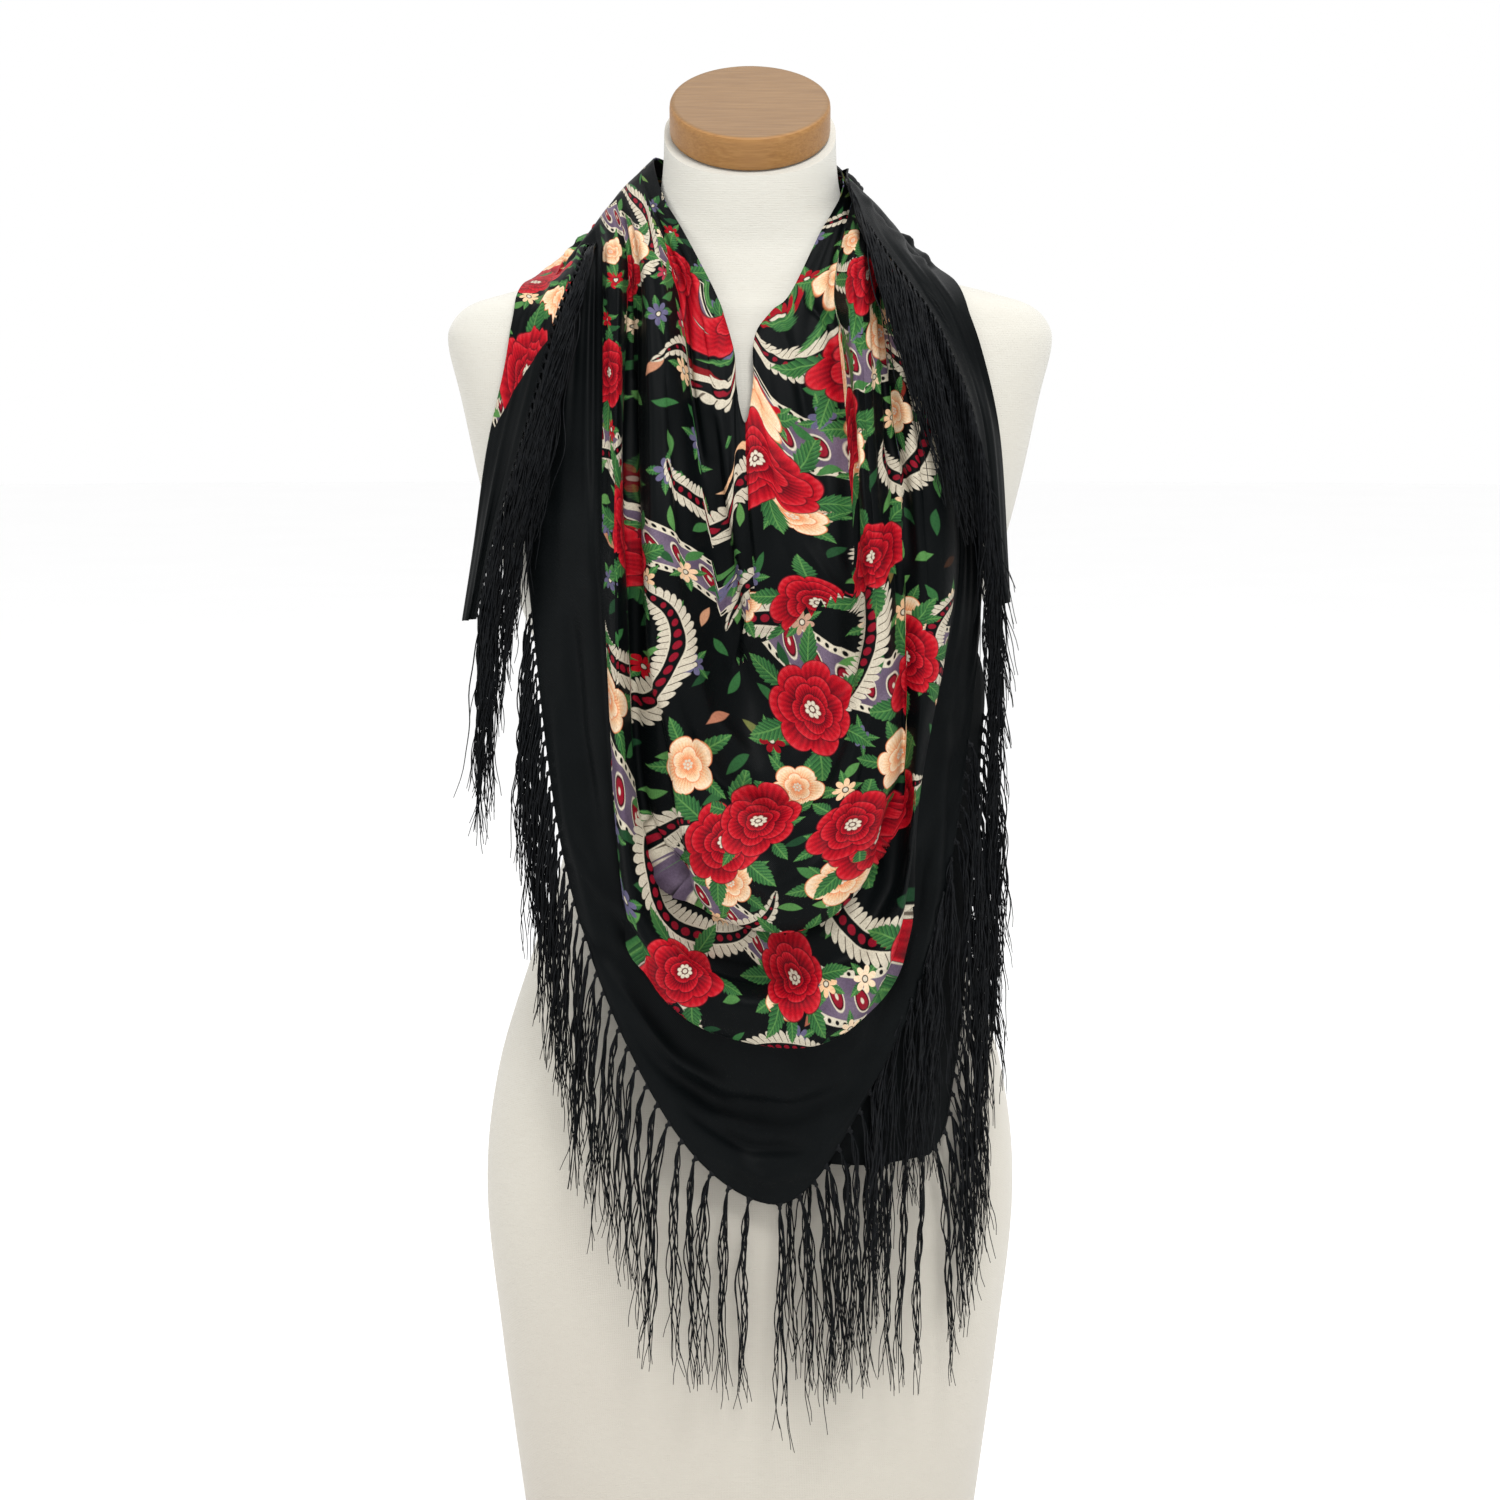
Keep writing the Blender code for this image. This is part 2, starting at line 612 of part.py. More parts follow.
def raise_spots(field, points):
    """Field with single points laid on it, each as wide as a cell and its neighbours."""
    raised = field.copy()
    i = np.round((points[:, 0] - FIELD_X[0]) / FIELD_STEP).astype(int)
    j = np.round((points[:, 2] - FIELD_Z[0]) / FIELD_STEP).astype(int)
    np.maximum.at(raised, (i, j), -points[:, 1] + LOCK_THICK / 2)
    wide = np.pad(raised, 1, "edge")
    near = [wide[a : a + raised.shape[0], b : b + raised.shape[1]] for a in range(3) for b in range(3)]
    return np.max(near, axis=0)


def main():
    form = build_form()
    hang = hang_field(True)

    under = push_out(under_grid(hang), form, CLOTH + UNDER_GAP)
    make_cloth("scarf_under_layer", under)
    on_under = raise_field(hang, under)

    front, round_neck = front_grid(on_under, FRONT_ACROSS, FRONT_DOWN)
    front[..., 1] -= np.clip(-front[..., 1] / 20, 0, 1) * LAYER_GAP
    front = push_out(front, form, CLOTH + FORM_GAP)
    make_cloth("scarf_front", front, closed=True)
    looped = np.concatenate([front, front[:, :1]], 1)
    on_front = raise_field(on_under, looped)
    vertices, faces = grid_mesh(front, closed=True, flip=True)
    front_tree = tree_of(vertices, faces)

    ends = []
    for table in (LEFT_END, RIGHT_END):
        grid = end_grid(table, (on_front, LAYER_GAP), END_ACROSS, END_DOWN)
        for step in range(SETTLINGS):
            if step:
                grid = even_out(grid)
            grid = push_out(grid, form, 2 * CLOTH + LAYER_GAP)
            grid = push_out(grid, front_tree, CLOTH + END_GAP)
        ends.append(grid)
    left, right = ends
    vertices, faces = grid_mesh(left)
    right = push_out(right, tree_of(vertices, faces), CLOTH + END_GAP)
    make_cloth("scarf_left_end", left, outward=False)
    make_cloth("scarf_right_end", right)

    first, tip, last = (int(np.argmin(np.abs(round_neck - k))) for k in (5, 8, 11))
    top = UNDER_FRINGE_TOP
    on_hip = fringe("fringe_under_side", under[top:, -1], under[top:, -2], hang)
    below = fringe("fringe_under_hem", under[-1, ::-1], under[-2, ::-1], hang)
    on_hip = np.maximum(on_hip, below)
    hem, inner = front[-1], front[-2]
    over_under = np.maximum(on_under, on_hip)
    on_right = fringe(
        "fringe_front_right", hem[tip + 1 : last][::-1], inner[tip + 1 : last][::-1], over_under
    )
    on_left = fringe("fringe_front_left", hem[first : tip + 1], inner[first : tip + 1], hang)
    on_all = np.maximum(np.maximum(on_front, on_left), on_right)
    top = LEFT_FRINGE_TOP
    fringe("fringe_left_end", left[top:, 0], left[top:, 1], on_all)
    top = RIGHT_FRINGE_TOP
    fringe("fringe_right_end", right[top:, 0], right[top:, 1], on_all, (0.0, 0.15, 0.35, 0.65, 1.0))


def make_cloth(name, grid, closed=False, outward=True):
    """Cloth node from a grid of points, with its wall. outward says that its rows run to the viewer's right."""
    vertices, faces = grid_mesh(grid, closed, flip=outward)
    thicken(make_object(name, vertices, faces, "cloth"))


for old in list(bpy.data.objects):
    bpy.data.objects.remove(old, do_unlink=True)
part = bpy.data.collections.new("square_scarf_on_form")
bpy.context.scene.collection.children.link(part)
main()
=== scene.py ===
# Square scarf with a knotted fringe, folded on its diagonal and worn as a cowl on a dress form.
# Tables are in millimetres, X to the viewer's right, -Y to the front; meshes are made in metres.
import bpy
import math
import numpy as np
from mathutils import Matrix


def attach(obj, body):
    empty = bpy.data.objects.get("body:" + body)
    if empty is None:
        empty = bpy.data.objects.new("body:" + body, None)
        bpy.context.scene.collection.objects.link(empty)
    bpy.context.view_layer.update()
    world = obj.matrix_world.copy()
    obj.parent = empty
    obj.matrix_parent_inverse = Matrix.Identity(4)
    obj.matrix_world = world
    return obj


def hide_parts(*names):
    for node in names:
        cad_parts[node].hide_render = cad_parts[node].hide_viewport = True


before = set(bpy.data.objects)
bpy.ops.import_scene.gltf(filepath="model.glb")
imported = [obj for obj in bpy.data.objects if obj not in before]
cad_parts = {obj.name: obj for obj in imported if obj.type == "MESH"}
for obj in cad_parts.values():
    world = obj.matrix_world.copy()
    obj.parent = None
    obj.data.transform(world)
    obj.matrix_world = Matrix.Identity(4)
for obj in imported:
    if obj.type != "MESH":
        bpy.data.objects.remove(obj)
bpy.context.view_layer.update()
print("frame loaded:", sorted(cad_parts))

viewpoint = {"distance": 3200.0, "height": 527.0, "tilt": math.radians(6), "lens": 118.15}


# shared shape functions

def spline(rows, steps, closed=False):
    # Catmull-Rom: each stretch is a cubic through two rows, with the rows beside them as its slopes
    rows, steps = np.asarray(rows, float), np.asarray(steps, float)
    count, start = len(rows), np.floor(steps).astype(int)
    if closed:
        index = [(start + k) % count for k in (-1, 0, 1, 2)]
    else:
        start = np.clip(start, 0, count - 2)
        index = [np.clip(start + k, 0, count - 1) for k in (-1, 0, 1, 2)]
    t = (steps - start).reshape(-1, *([1] * (rows.ndim - 1)))
    before, here, after, beyond = (rows[i] for i in index)
    return 0.5 * (2 * here + (after - before) * t + (2 * before - 5 * here + 4 * after - beyond) * t**2
                  + (3 * here - before - 3 * after + beyond) * t**3)


def unit(vectors):
    # each vector over its own length
    return vectors / np.maximum(np.linalg.norm(vectors, axis=-1, keepdims=True), 1e-9)


def sight(x, z, depth):
    # slides a point of the front view along its line of sight until it is depth in front of the middle
    rise, far = z - viewpoint["height"], viewpoint["distance"]
    along = (far * math.cos(viewpoint["tilt"]) - depth) / (
        far * math.cos(viewpoint["tilt"]) + rise * math.sin(viewpoint["tilt"]))
    drop = far * math.sin(viewpoint["tilt"])
    return x * along, viewpoint["height"] + drop + along * (rise * math.cos(viewpoint["tilt"]) - drop)


def seenAt(points):
    # the reverse: width and height in the front view of real points, by perspective division
    c, s, far = math.cos(viewpoint["tilt"]), math.sin(viewpoint["tilt"]), viewpoint["distance"]
    y, z = points[..., 1] + far * c, points[..., 2] - viewpoint["height"] - far * s
    ahead = y * c - z * s
    return points[..., 0] / ahead * far, viewpoint["height"] + (y * s + z * c) / ahead * far


def normalsOf(points):
    # cross product of the two directions of a grid, turned to face forward
    normal = unit(np.cross(np.gradient(points, axis=1), np.gradient(points, axis=0)))
    return normal * np.where(normal[..., 1:2] > 0, -1.0, 1.0)


def gridFaces(rows, columns, closed=False, flip=False):
    # four corners for each cell of a grid, the last column joined to the first if closed
    i = np.arange(rows - 1)[:, None]
    j = np.arange(columns if closed else columns - 1)[None, :]
    k = (j + 1) % columns
    faces = np.stack([i * columns + j, i * columns + k, (i + 1) * columns + k, (i + 1) * columns + j], -1)
    faces = faces.reshape(-1, 4)
    return faces[:, ::-1] if flip else faces


def makePiece(name, vertices, faces, material, corners=None, marks=None):
    # mesh object at the origin, from points in millimetres; corners are UVs, marks are numbers for each point
    mesh = bpy.data.meshes.new(name)
    faces = faces.tolist() if isinstance(faces, np.ndarray) else faces
    mesh.from_pydata((np.reshape(vertices, (-1, 3)) / 1000).tolist(), [], faces)
    mesh.polygons.foreach_set("use_smooth", np.ones(len(mesh.polygons), bool))
    if corners is not None:
        layer = mesh.uv_layers.new(name="print")
        layer.data.foreach_set("uv", np.asarray(corners, np.float32).ravel())
    for mark, values in (marks or {}).items():
        store = mesh.attributes.new(mark, "FLOAT", "POINT")
        store.data.foreach_set("value", np.asarray(values, np.float32).ravel())
    mesh.materials.append(material)
    piece = bpy.data.objects.new(name, mesh)
    bpy.context.scene.collection.objects.link(piece)
    return piece


def standFor(piece, node):
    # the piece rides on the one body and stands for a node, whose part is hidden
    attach(piece, "root")
    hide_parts(node)
    return piece


def giveWall(piece, thickness):
    # thin shell, inward from the modelled face
    wall = piece.modifiers.new("wall", "SOLIDIFY")
    wall.thickness, wall.offset, wall.use_even_offset = thickness / 1000, -1.0, False


def clearOf(points, targets, closed=False, flip=False):
    # a copy of the grid whose points inside a target, or nearer than its gap, lie that gap outside it
    mesh = bpy.data.meshes.new("settling")
    mesh.from_pydata((points.reshape(-1, 3) / 1000).tolist(), [], gridFaces(*points.shape[:2], closed, flip).tolist())
    trial = bpy.data.objects.new("settling", mesh)
    bpy.context.scene.collection.objects.link(trial)
    for target, gap in targets:
        wrap = trial.modifiers.new("clear", "SHRINKWRAP")
        wrap.target, wrap.wrap_mode, wrap.offset = target, "OUTSIDE", gap / 1000
    settled = trial.evaluated_get(bpy.context.evaluated_depsgraph_get()).data
    found = np.empty(len(settled.vertices) * 3)
    settled.vertices.foreach_get("co", found)
    bpy.data.objects.remove(trial)
    bpy.data.meshes.remove(mesh)
    return found.reshape(points.shape) * 1000


# dress form

formShape = {
    "rings": [  # height, half width, depth to front and back, forward tilt
        (0, 143, 90, 98, 0), (40, 149, 95, 104, 0), (140, 162, 103, 116, 0), (240, 172, 108, 124, 0),
        (320, 164, 104, 118, 0), (400, 140, 94, 98, 0), (468, 120, 84, 80, 0), (540, 126, 90, 84, 0),
        (600, 140, 98, 92, 0), (650, 160, 104, 98, 0), (700, 174, 102, 104, 0), (755, 186, 90, 104, 0),
        (788, 194, 78, 100, 0), (803, 192, 71, 95, 0), (815, 180, 66, 90, 0), (823, 155, 61, 85, 0),
        (831, 125, 57, 80, 0), (845, 95, 52, 74, 1), (861, 73, 49, 67, 6), (880, 60, 50, 60, 14),
        (900, 56, 53, 55, 22), (925, 55, 57, 51, 29)],
    "squareness": 2.35, "sides": 160, "rowsPerRing": 8,
    "bustSide": 78.0, "bustHeight": 642.0, "bustProud": 24.0, "bustWidth": 56.0, "bustDrop": 66.0,
}
fieldGrid = {"step": 4.0, "x": np.arange(-240.0, 241.0, 4.0), "z": np.arange(0.0, 961.0, 4.0),
             "offForm": 0.5, "softening": 5}


def bustAt(x, z):
    # two soft bell-shaped rises
    s = formShape
    return s["bustProud"] * np.exp(-((np.abs(x) - s["bustSide"]) / s["bustWidth"]) ** 2
                                   - ((z - s["bustHeight"]) / s["bustDrop"]) ** 2)


def formPoints():
    # rings of squared ellipses, their front half raised by the bust, tilted forward up the neck
    rings, sides = np.array(formShape["rings"], float), formShape["sides"]
    steps = np.linspace(0, len(rings) - 1, (len(rings) - 1) * formShape["rowsPerRing"] + 1)
    angle, power = np.arange(sides) * 2 * math.pi / sides, 2 / formShape["squareness"]
    side = np.sign(np.cos(angle)) * np.abs(np.cos(angle)) ** power
    deep = np.sign(np.sin(angle)) * np.abs(np.sin(angle)) ** power
    height, half, ahead, behind, tilt = spline(rings, steps).T[:, :, None]
    x, z = half * side, height + 0 * side
    y = np.where(deep < 0, ahead, behind) * deep - bustAt(x, z) * np.clip(-deep, 0, 1) ** 0.5
    lean = np.radians(tilt)
    points = np.stack([x, y * np.cos(lean), z + y * np.sin(lean)], 2)
    points[0, :, 2] = 0
    return points


def soften(field, passes):
    # each cell becomes a quarter of both neighbours and half of itself, along each direction
    for _ in range(passes):
        for axis in (0, 1):
            wide = np.pad(field, [(1, 1) if k == axis else (0, 0) for k in (0, 1)], "edge")
            low, high = (np.take(wide, range(a, a + field.shape[axis]), axis) for a in (0, 2))
            field = 0.25 * low + 0.5 * field + 0.25 * high
    return field


def hangField():
    # how far forward cloth hangs: the form's depth, or that of anything above it, softened
    x, z = np.meshgrid(fieldGrid["x"], fieldGrid["z"], indexing="ij")
    rings, power = np.array(formShape["rings"], float), formShape["squareness"]
    half, ahead = (np.interp(z, rings[:, 0], rings[:, k]) for k in (1, 2))
    share = np.clip(1 - (np.abs(x) / half) ** power, 0, 1) ** (1 / power)
    field = ahead * share - fieldGrid["offForm"] * np.clip(np.abs(x) - half, 0, None) + bustAt(x, z) * (share > 0)
    hung = np.maximum.accumulate(field[:, ::-1], axis=1)[:, ::-1]
    return np.maximum(soften(hung, fieldGrid["softening"]), field)


def readField(field, x, z):
    # bilinear value of a field at widths and heights
    step, xs, zs = fieldGrid["step"], fieldGrid["x"], fieldGrid["z"]
    column = np.clip((x - xs[0]) / step, 0, len(xs) - 1.001)
    row = np.clip((z - zs[0]) / step, 0, len(zs) - 1.001)
    i, j = column.astype(int), row.astype(int)
    u, v = column - i, row - j
    return ((field[i, j] * (1 - u) + field[i + 1, j] * u) * (1 - v)
            + (field[i, j + 1] * (1 - u) + field[i + 1, j + 1] * u) * v)


def raiseField(field, points, softening=5):
    # the field with a surface's points laid on it, each as wide as its neighbours
    step, xs, zs = fieldGrid["step"], fieldGrid["x"], fieldGrid["z"]
    x, y, z = points.reshape(-1, 3).T
    i, j = np.round((x - xs[0]) / step).astype(int), np.round((z - zs[0]) / step).astype(int)
    inside = (i >= 0) & (i < len(xs)) & (j >= 0) & (j < len(zs)) & (y < 0)
    raised = field.copy()
    np.maximum.at(raised, (i[inside], j[inside]), -y[inside])
    wide = np.pad(raised, 1, "edge")
    raised = np.max([wide[a:a + raised.shape[0], b:b + raised.shape[1]] for a in range(3) for b in range(3)], axis=0)
    return np.maximum(soften(raised, softening), raised)


def sightOn(field, x, z, lift):
    # the front view's points slid along their sight to lie a lift off a field
    realX, realZ = x, z
    for _ in range(4):
        depth = readField(field, realX, realZ) + lift
        realX, realZ = sight(x, z, depth)
    return realX, realZ, depth


# shader sums

fullTurn, halfTurn = 6.2832, 3.1416


class Sum:
    # a number in a material, so that a pattern can be written as a sum
    def __init__(self, tree, socket):
        self.tree, self.socket = tree, socket

    def maths(self, operation, *others, clamp=False):
        node = self.tree.nodes.new("ShaderNodeMath")
        node.operation, node.use_clamp = operation, clamp
        for k, item in enumerate((self,) + others):
            if isinstance(item, Sum):
                self.tree.links.new(item.socket, node.inputs[k])
            else:
                node.inputs[k].default_value = item
        return Sum(self.tree, node.outputs[0])

    def __rsub__(self, other):
        return self * -1 + other

    def wrap(self, low, high):
        return self.maths("WRAP", high, low)

    def share(self):
        # cut off below nought and above one
        return self.maths("MULTIPLY", 1.0, clamp=True)

    def inside(self, blur):
        # 1 where the number is above nought, 0 below it, with an edge as wide as blur
        return self.maths("MULTIPLY_ADD", 1 / blur, 0.5, clamp=True)


for method, operation in {"__add__": "ADD", "__radd__": "ADD", "__sub__": "SUBTRACT", "__mul__": "MULTIPLY",
                          "__rmul__": "MULTIPLY", "__truediv__": "DIVIDE", "__pow__": "POWER", "floor": "FLOOR",
                          "sin": "SINE", "size": "ABSOLUTE", "most": "MAXIMUM"}.items():
    setattr(Sum, method, lambda self, *others, operation=operation: self.maths(operation, *others))


def link(start, end):
    end.id_data.links.new(start.socket if isinstance(start, Sum) else start, end)


def newNode(tree, kind, inputs, **settings):
    # shader node whose inputs are numbers, colours, sums or sockets
    node = tree.nodes.new("ShaderNode" + kind)
    for key, value in settings.items():
        setattr(node, key, value)
    for key, value in inputs.items():
        if isinstance(value, (Sum, bpy.types.NodeSocket)):
            link(value, node.inputs[key])
        else:
            node.inputs[key].default_value = value
    return node


def newMaterial(name, roughness, **settings):
    material = bpy.data.materials.new(name)
    material.use_nodes = True
    shader = material.node_tree.nodes["Principled BSDF"]
    shader.inputs["Roughness"].default_value = roughness
    for key, value in settings.items():
        shader.inputs[key].default_value = value
    return material, material.node_tree, shader


def noiseOn(coordinates, scale, detail=3.0):
    tree = coordinates.id_data
    return Sum(tree, newNode(tree, "TexNoise", {"Scale": scale, "Detail": detail, "Vector": coordinates}).outputs[0])


def inkOf(colour):
    # a print colour by its name, or a colour given its alpha; a socket stays as it is
    colour = printColours[colour] if isinstance(colour, str) else colour
    return (*colour, 1) if isinstance(colour, tuple) else colour


def ramp(value, stops):
    # colours along a number from nought to one
    node = newNode(value.tree, "ValToRGB", {"Fac": value})
    while len(node.color_ramp.elements) < len(stops):
        node.color_ramp.elements.new(0.5)
    for element, (place, colour) in zip(node.color_ramp.elements, stops):
        element.position, element.color = place, inkOf(colour)
    return node.outputs["Color"]


def paint(under, colour, mask):
    # colour laid over what is under it, where the mask says
    inputs = {"Factor": mask, "A": inkOf(under), "B": inkOf(colour)}
    return newNode(mask.tree, "Mix", inputs, data_type="RGBA").outputs["Result"]


def spot(under, colour, far, reach, present=1.0):
    # colour where a distance is below its reach
    return paint(under, colour, (reach - far).inside(printSizes["edgeBlur"]) * present)


def bump(shader, heights):
    # bump from (height, distance in metres, strength) in a chain
    last = None
    for height, distance, strength in heights:
        node = newNode(height.tree, "Bump", {"Distance": distance, "Strength": strength, "Height": height})
        if last is not None:
            link(last, node.inputs["Normal"])
        last = node.outputs["Normal"]
    link(last, shader.inputs["Normal"])


def objectXYZ(tree):
    place = newNode(tree, "TexCoord", {}).outputs["Object"]
    return place, [Sum(tree, s) for s in newNode(tree, "SeparateXYZ", {0: place}).outputs]


# printed cloth: a generic garden of roses, peach blossom, leaves, mauve ribbons and feathered scrolls

printColours = {
    "ground": (0.0016, 0.0024, 0.0027), "roseDark": (0.034, 0.0012, 0.0043), "roseMid": (0.175, 0.0018, 0.0070),
    "roseLight": (0.400, 0.0050, 0.0125), "roseEdge": (0.480, 0.0225, 0.0310), "cream": (0.530, 0.477, 0.371),
    "feather": (0.490, 0.440, 0.345), "featherLine": (0.1021, 0.0809, 0.0596), "peach": (0.660, 0.400, 0.222),
    "peachLight": (0.700, 0.535, 0.365), "orange": (0.5958, 0.1702, 0.0596), "leafDark": (0.0085, 0.0383, 0.0153),
    "leafMid": (0.0298, 0.1192, 0.034), "leafLight": (0.0851, 0.2128, 0.0553), "mauve": (0.1319, 0.0979, 0.1404),
    "mauveDark": (0.085, 0.060, 0.095), "drop": (0.2043, 0.0052, 0.0153), "daisy": (0.0979, 0.0894, 0.1575),
}
printSizes = {  # metres; a cell is its size, its two shifts in cells and how far a motif strays from its middle
    "edgeBlur": 0.0006, "budCell": (0.033, 0.31, 0.14, 0.003), "sprigCell": (0.023, 0.0, 0.0),
    "scrollCell": (0.142, 0.18, 0.37, 0.008), "scroll": 0.044, "scrollWide": 0.0135, "scrollBeads": 0.0072,
    "ribbonEvery": 0.105, "ribbon": 0.0125, "beads": 0.0056, "drops": 0.0185,
    "roseHeart": (0.030, 0.452, 0.120), "quiet": (0.635, 0.085),
}
rosePetals = [(1.0, 7, 0.20), (0.74, 6, 0.22), (0.50, 5, 0.26), (0.30, 4, 0.2)]
roseColours = ["roseDark", "roseMid", "roseLight", "roseEdge"]
bloomKinds = {  # cell, least size and spread, leaves from and to as shares and how many, petals as share, number, depth
    "blossom": {"cell": (0.071, 0.62, 0.27, 0.004), "size": (0.0145, 0.006), "leaves": (0.7, 1.75, 5), "dots": 7,
                "petals": [(1.0, 5, 0.30), (0.55, 5, 0.30)],
                "colours": ["orange", "peach", "peachLight", "peachLight"]},
    "rose": {"cell": (0.092, 0.12, 0.41, 0.005), "size": (0.0235, 0.0085), "leaves": (0.8, 1.75, 6), "dots": 8,
             "petals": rosePetals, "colours": roseColours},
    "cluster": {"cell": (0.058, 0.42, 0.21, 0.004), "size": (0.0195, 0.006), "leaves": (0.8, 1.5, 5), "dots": 8,
                "petals": rosePetals, "colours": roseColours},
}


def cellOf(u, v, size, shiftU, shiftV, stray=0.0):
    # place within a cell of a brick pattern, in metres from its middle, the same as a distance and an angle turned
    # at random, and three random numbers for the cell
    a, b = u * (1 / size) + shiftU, v * (1 / size) + shiftV
    row = b.floor()
    a = a + row.wrap(0, 2) * 0.5
    column = a.floor()
    cell = newNode(u.tree, "CombineXYZ", {0: column, 1: row}).outputs[0]
    colour = newNode(u.tree, "TexWhiteNoise", {"Vector": cell}, noise_dimensions="2D").outputs["Color"]
    chance = [Sum(u.tree, s) for s in newNode(u.tree, "SeparateColor", {0: colour}).outputs]
    x, y = (a - column - 0.5) * size, (b - row - 0.5) * size
    if stray:
        x, y = x + (chance[2] * 57).sin() * stray, y + (chance[2] * 91).sin() * stray
    return x, y, (x * x + y * y) ** 0.5, y.maths("ARCTAN2", x) + chance[0] * fullTurn, chance


def flower(under, r, angle, size, rings, colours, present):
    # rings of petals, each ring's edge scalloped by the absolute sine, shaded from the fold to the petal's lip
    dark, mid, light, lip = colours
    for k, (share, petals, depth) in enumerate(rings):
        scallop = (angle * (petals / 2) + k * 1.3).sin().size() ** 0.5
        uneven = (angle * 2 + k * 2.1).sin() * 0.07 + (angle * 3 - k).sin() * 0.045 + 1
        edge = (scallop * depth + (1 - depth)) * uneven * (size * share)
        rise = (r / edge).maths("POWER", 3.0, clamp=True)
        veins = (angle * 37 + k).sin() * 0.10 + scallop * 0.22 - 0.16
        shade = ramp(rise + veins, [(0.0, dark), (0.32, mid), (0.75, light), (1.0, lip)])
        under = paint(under, shade, (edge - r).inside(0.0007) * present)
        under = spot(under, dark, (edge - r).size(), 0.00035, present * 0.8)
    return under


def heartDots(under, r, angle, size, dots, present):
    # ring of cream dots in a flower's heart
    across = ((angle * (dots / fullTurn)).wrap(0, 1) - 0.5) * (fullTurn / dots) * r
    along = r - size * 0.125
    under = spot(under, "cream", (across * across + along * along) ** 0.5, size * 0.048, present)
    return spot(under, "cream", r, size * 0.05, present)


def leaves(under, r, angle, inner, outer, count, present):
    # pointed leaves round a middle: half width is a sine of the way along, with a notched edge and a pale rib
    across = (angle * (count / fullTurn)).wrap(0, 1) - 0.5
    aside = (across * (fullTurn / count) * r).size()
    along = ((r - inner) / (outer - inner)).share()
    wide = (along ** 0.75 * halfTurn).sin() * (outer - inner) * 0.27
    notch = (along * 7.0 - aside * 90).wrap(0, 1) * 0.22 + 0.80
    within = (wide * notch - aside - 0.0004).inside(0.0007) * present
    tone = (along * 8.0 - aside * 380).wrap(0, 1) * 0.5 + along * 0.3 + across * 0.4 + 0.1
    under = paint(under, ramp(tone, [(0.1, "leafDark"), (0.55, "leafMid"), (0.95, "leafLight")]), within)
    return spot(under, "leafLight", aside, 0.0004, within)


def beadRow(u, every):
    # place along a row of beads, from the middle of the nearest
    return ((u * (1 / every)).wrap(0, 1) - 0.5) * every


def scrolls(under, u, v):
    # cream feathered arcs that thin to their tips, each on a spiral round the middle of a big cell, and in
    # them a dark band of red beads; a slanted sawtooth along the arc parts the feathers
    size = printSizes
    _, _, r, angle, chance = cellOf(u, v, *size["scrollCell"])
    share = angle.wrap(-halfTurn, halfTurn)
    taper = ((2.45 - share.size()) * 0.62).share() ** 0.6
    bend = r - share * 0.0075 - size["scroll"]
    far = bend.size()
    lobe = ((share * 9.5 - far * 95) * halfTurn).sin().size()
    edge = (lobe ** 0.5 * 0.36 + 0.66) * size["scrollWide"] * taper
    band = (edge - far).inside(0.0007) * (taper - 0.04).inside(0.02) * (chance[1] - 0.05).inside(0.02)
    under = paint(paint(under, "feather", band), "featherLine", (0.20 - lobe).inside(0.16) * band)
    core = (taper * 0.0046 - far).inside(0.0006) * band
    under = paint(spot(under, "cream", far, taper * 0.0056, band), "ground", core)
    bead = beadRow(share * size["scroll"], size["scrollBeads"])
    return spot(under, "drop", (bead * bead + bend * bend) ** 0.5, taper * 0.0026, core)


def ribbons(under, u, v):
    # waved mauve bands between beaded cream edges, with a row of red drops in cream rings
    size = printSizes
    off = v + (u * 27).sin() * 0.012 + (u * 11 + 1.0).sin() * 0.016 + u * 0.42
    off = off.wrap(-size["ribbonEvery"], size["ribbonEvery"])
    far = off.size()
    cloudy = (u * 210 + v * 130).sin() * 0.3 + (v * 260 - u * 90).sin() * 0.2 + 0.5
    under = paint(under, ramp(cloudy, [(0.2, "mauve"), (0.9, "mauveDark")]), (size["ribbon"] - far).inside(0.0007))
    across = beadRow(u, size["drops"])
    slant = off * 0.72 + across * 0.3
    egg = (across * across + slant * slant) ** 0.5
    for reach, colour in ((0.0058, "cream"), (0.0049, "roseDark"), (0.0040, "drop"), (0.0012, "cream")):
        under = spot(under, colour, egg, reach)
    edge, across = far - (size["ribbon"] + 0.0022), beadRow(u, size["beads"])
    under = spot(under, "cream", edge.size(), 0.0025)
    return spot(under, "ground", (across * across + edge * edge) ** 0.5, 0.0014)


def sprigs(under, u, v):
    # small leaves scattered in the gaps, turned at random, a few of them buds
    long = printSizes["sprigCell"][0]
    _, _, r, angle, chance = cellOf(u, v, *printSizes["sprigCell"])
    across, along = angle.sin() * r, (angle + fullTurn / 4).sin() * r
    curve = across - along * along * 14
    petal = (along * along * (-1 / (long * 0.36) ** 2) + 1) * (long * 0.125) - curve.size()
    tone = ramp(chance[2], [(0.0, "leafDark"), (0.45, "leafMid"), (0.80, "leafLight"), (0.90, "roseMid"),
                            (1.0, "peach")])
    return paint(under, tone, petal.inside(0.0007) * (chance[1] - 0.40).inside(0.02))


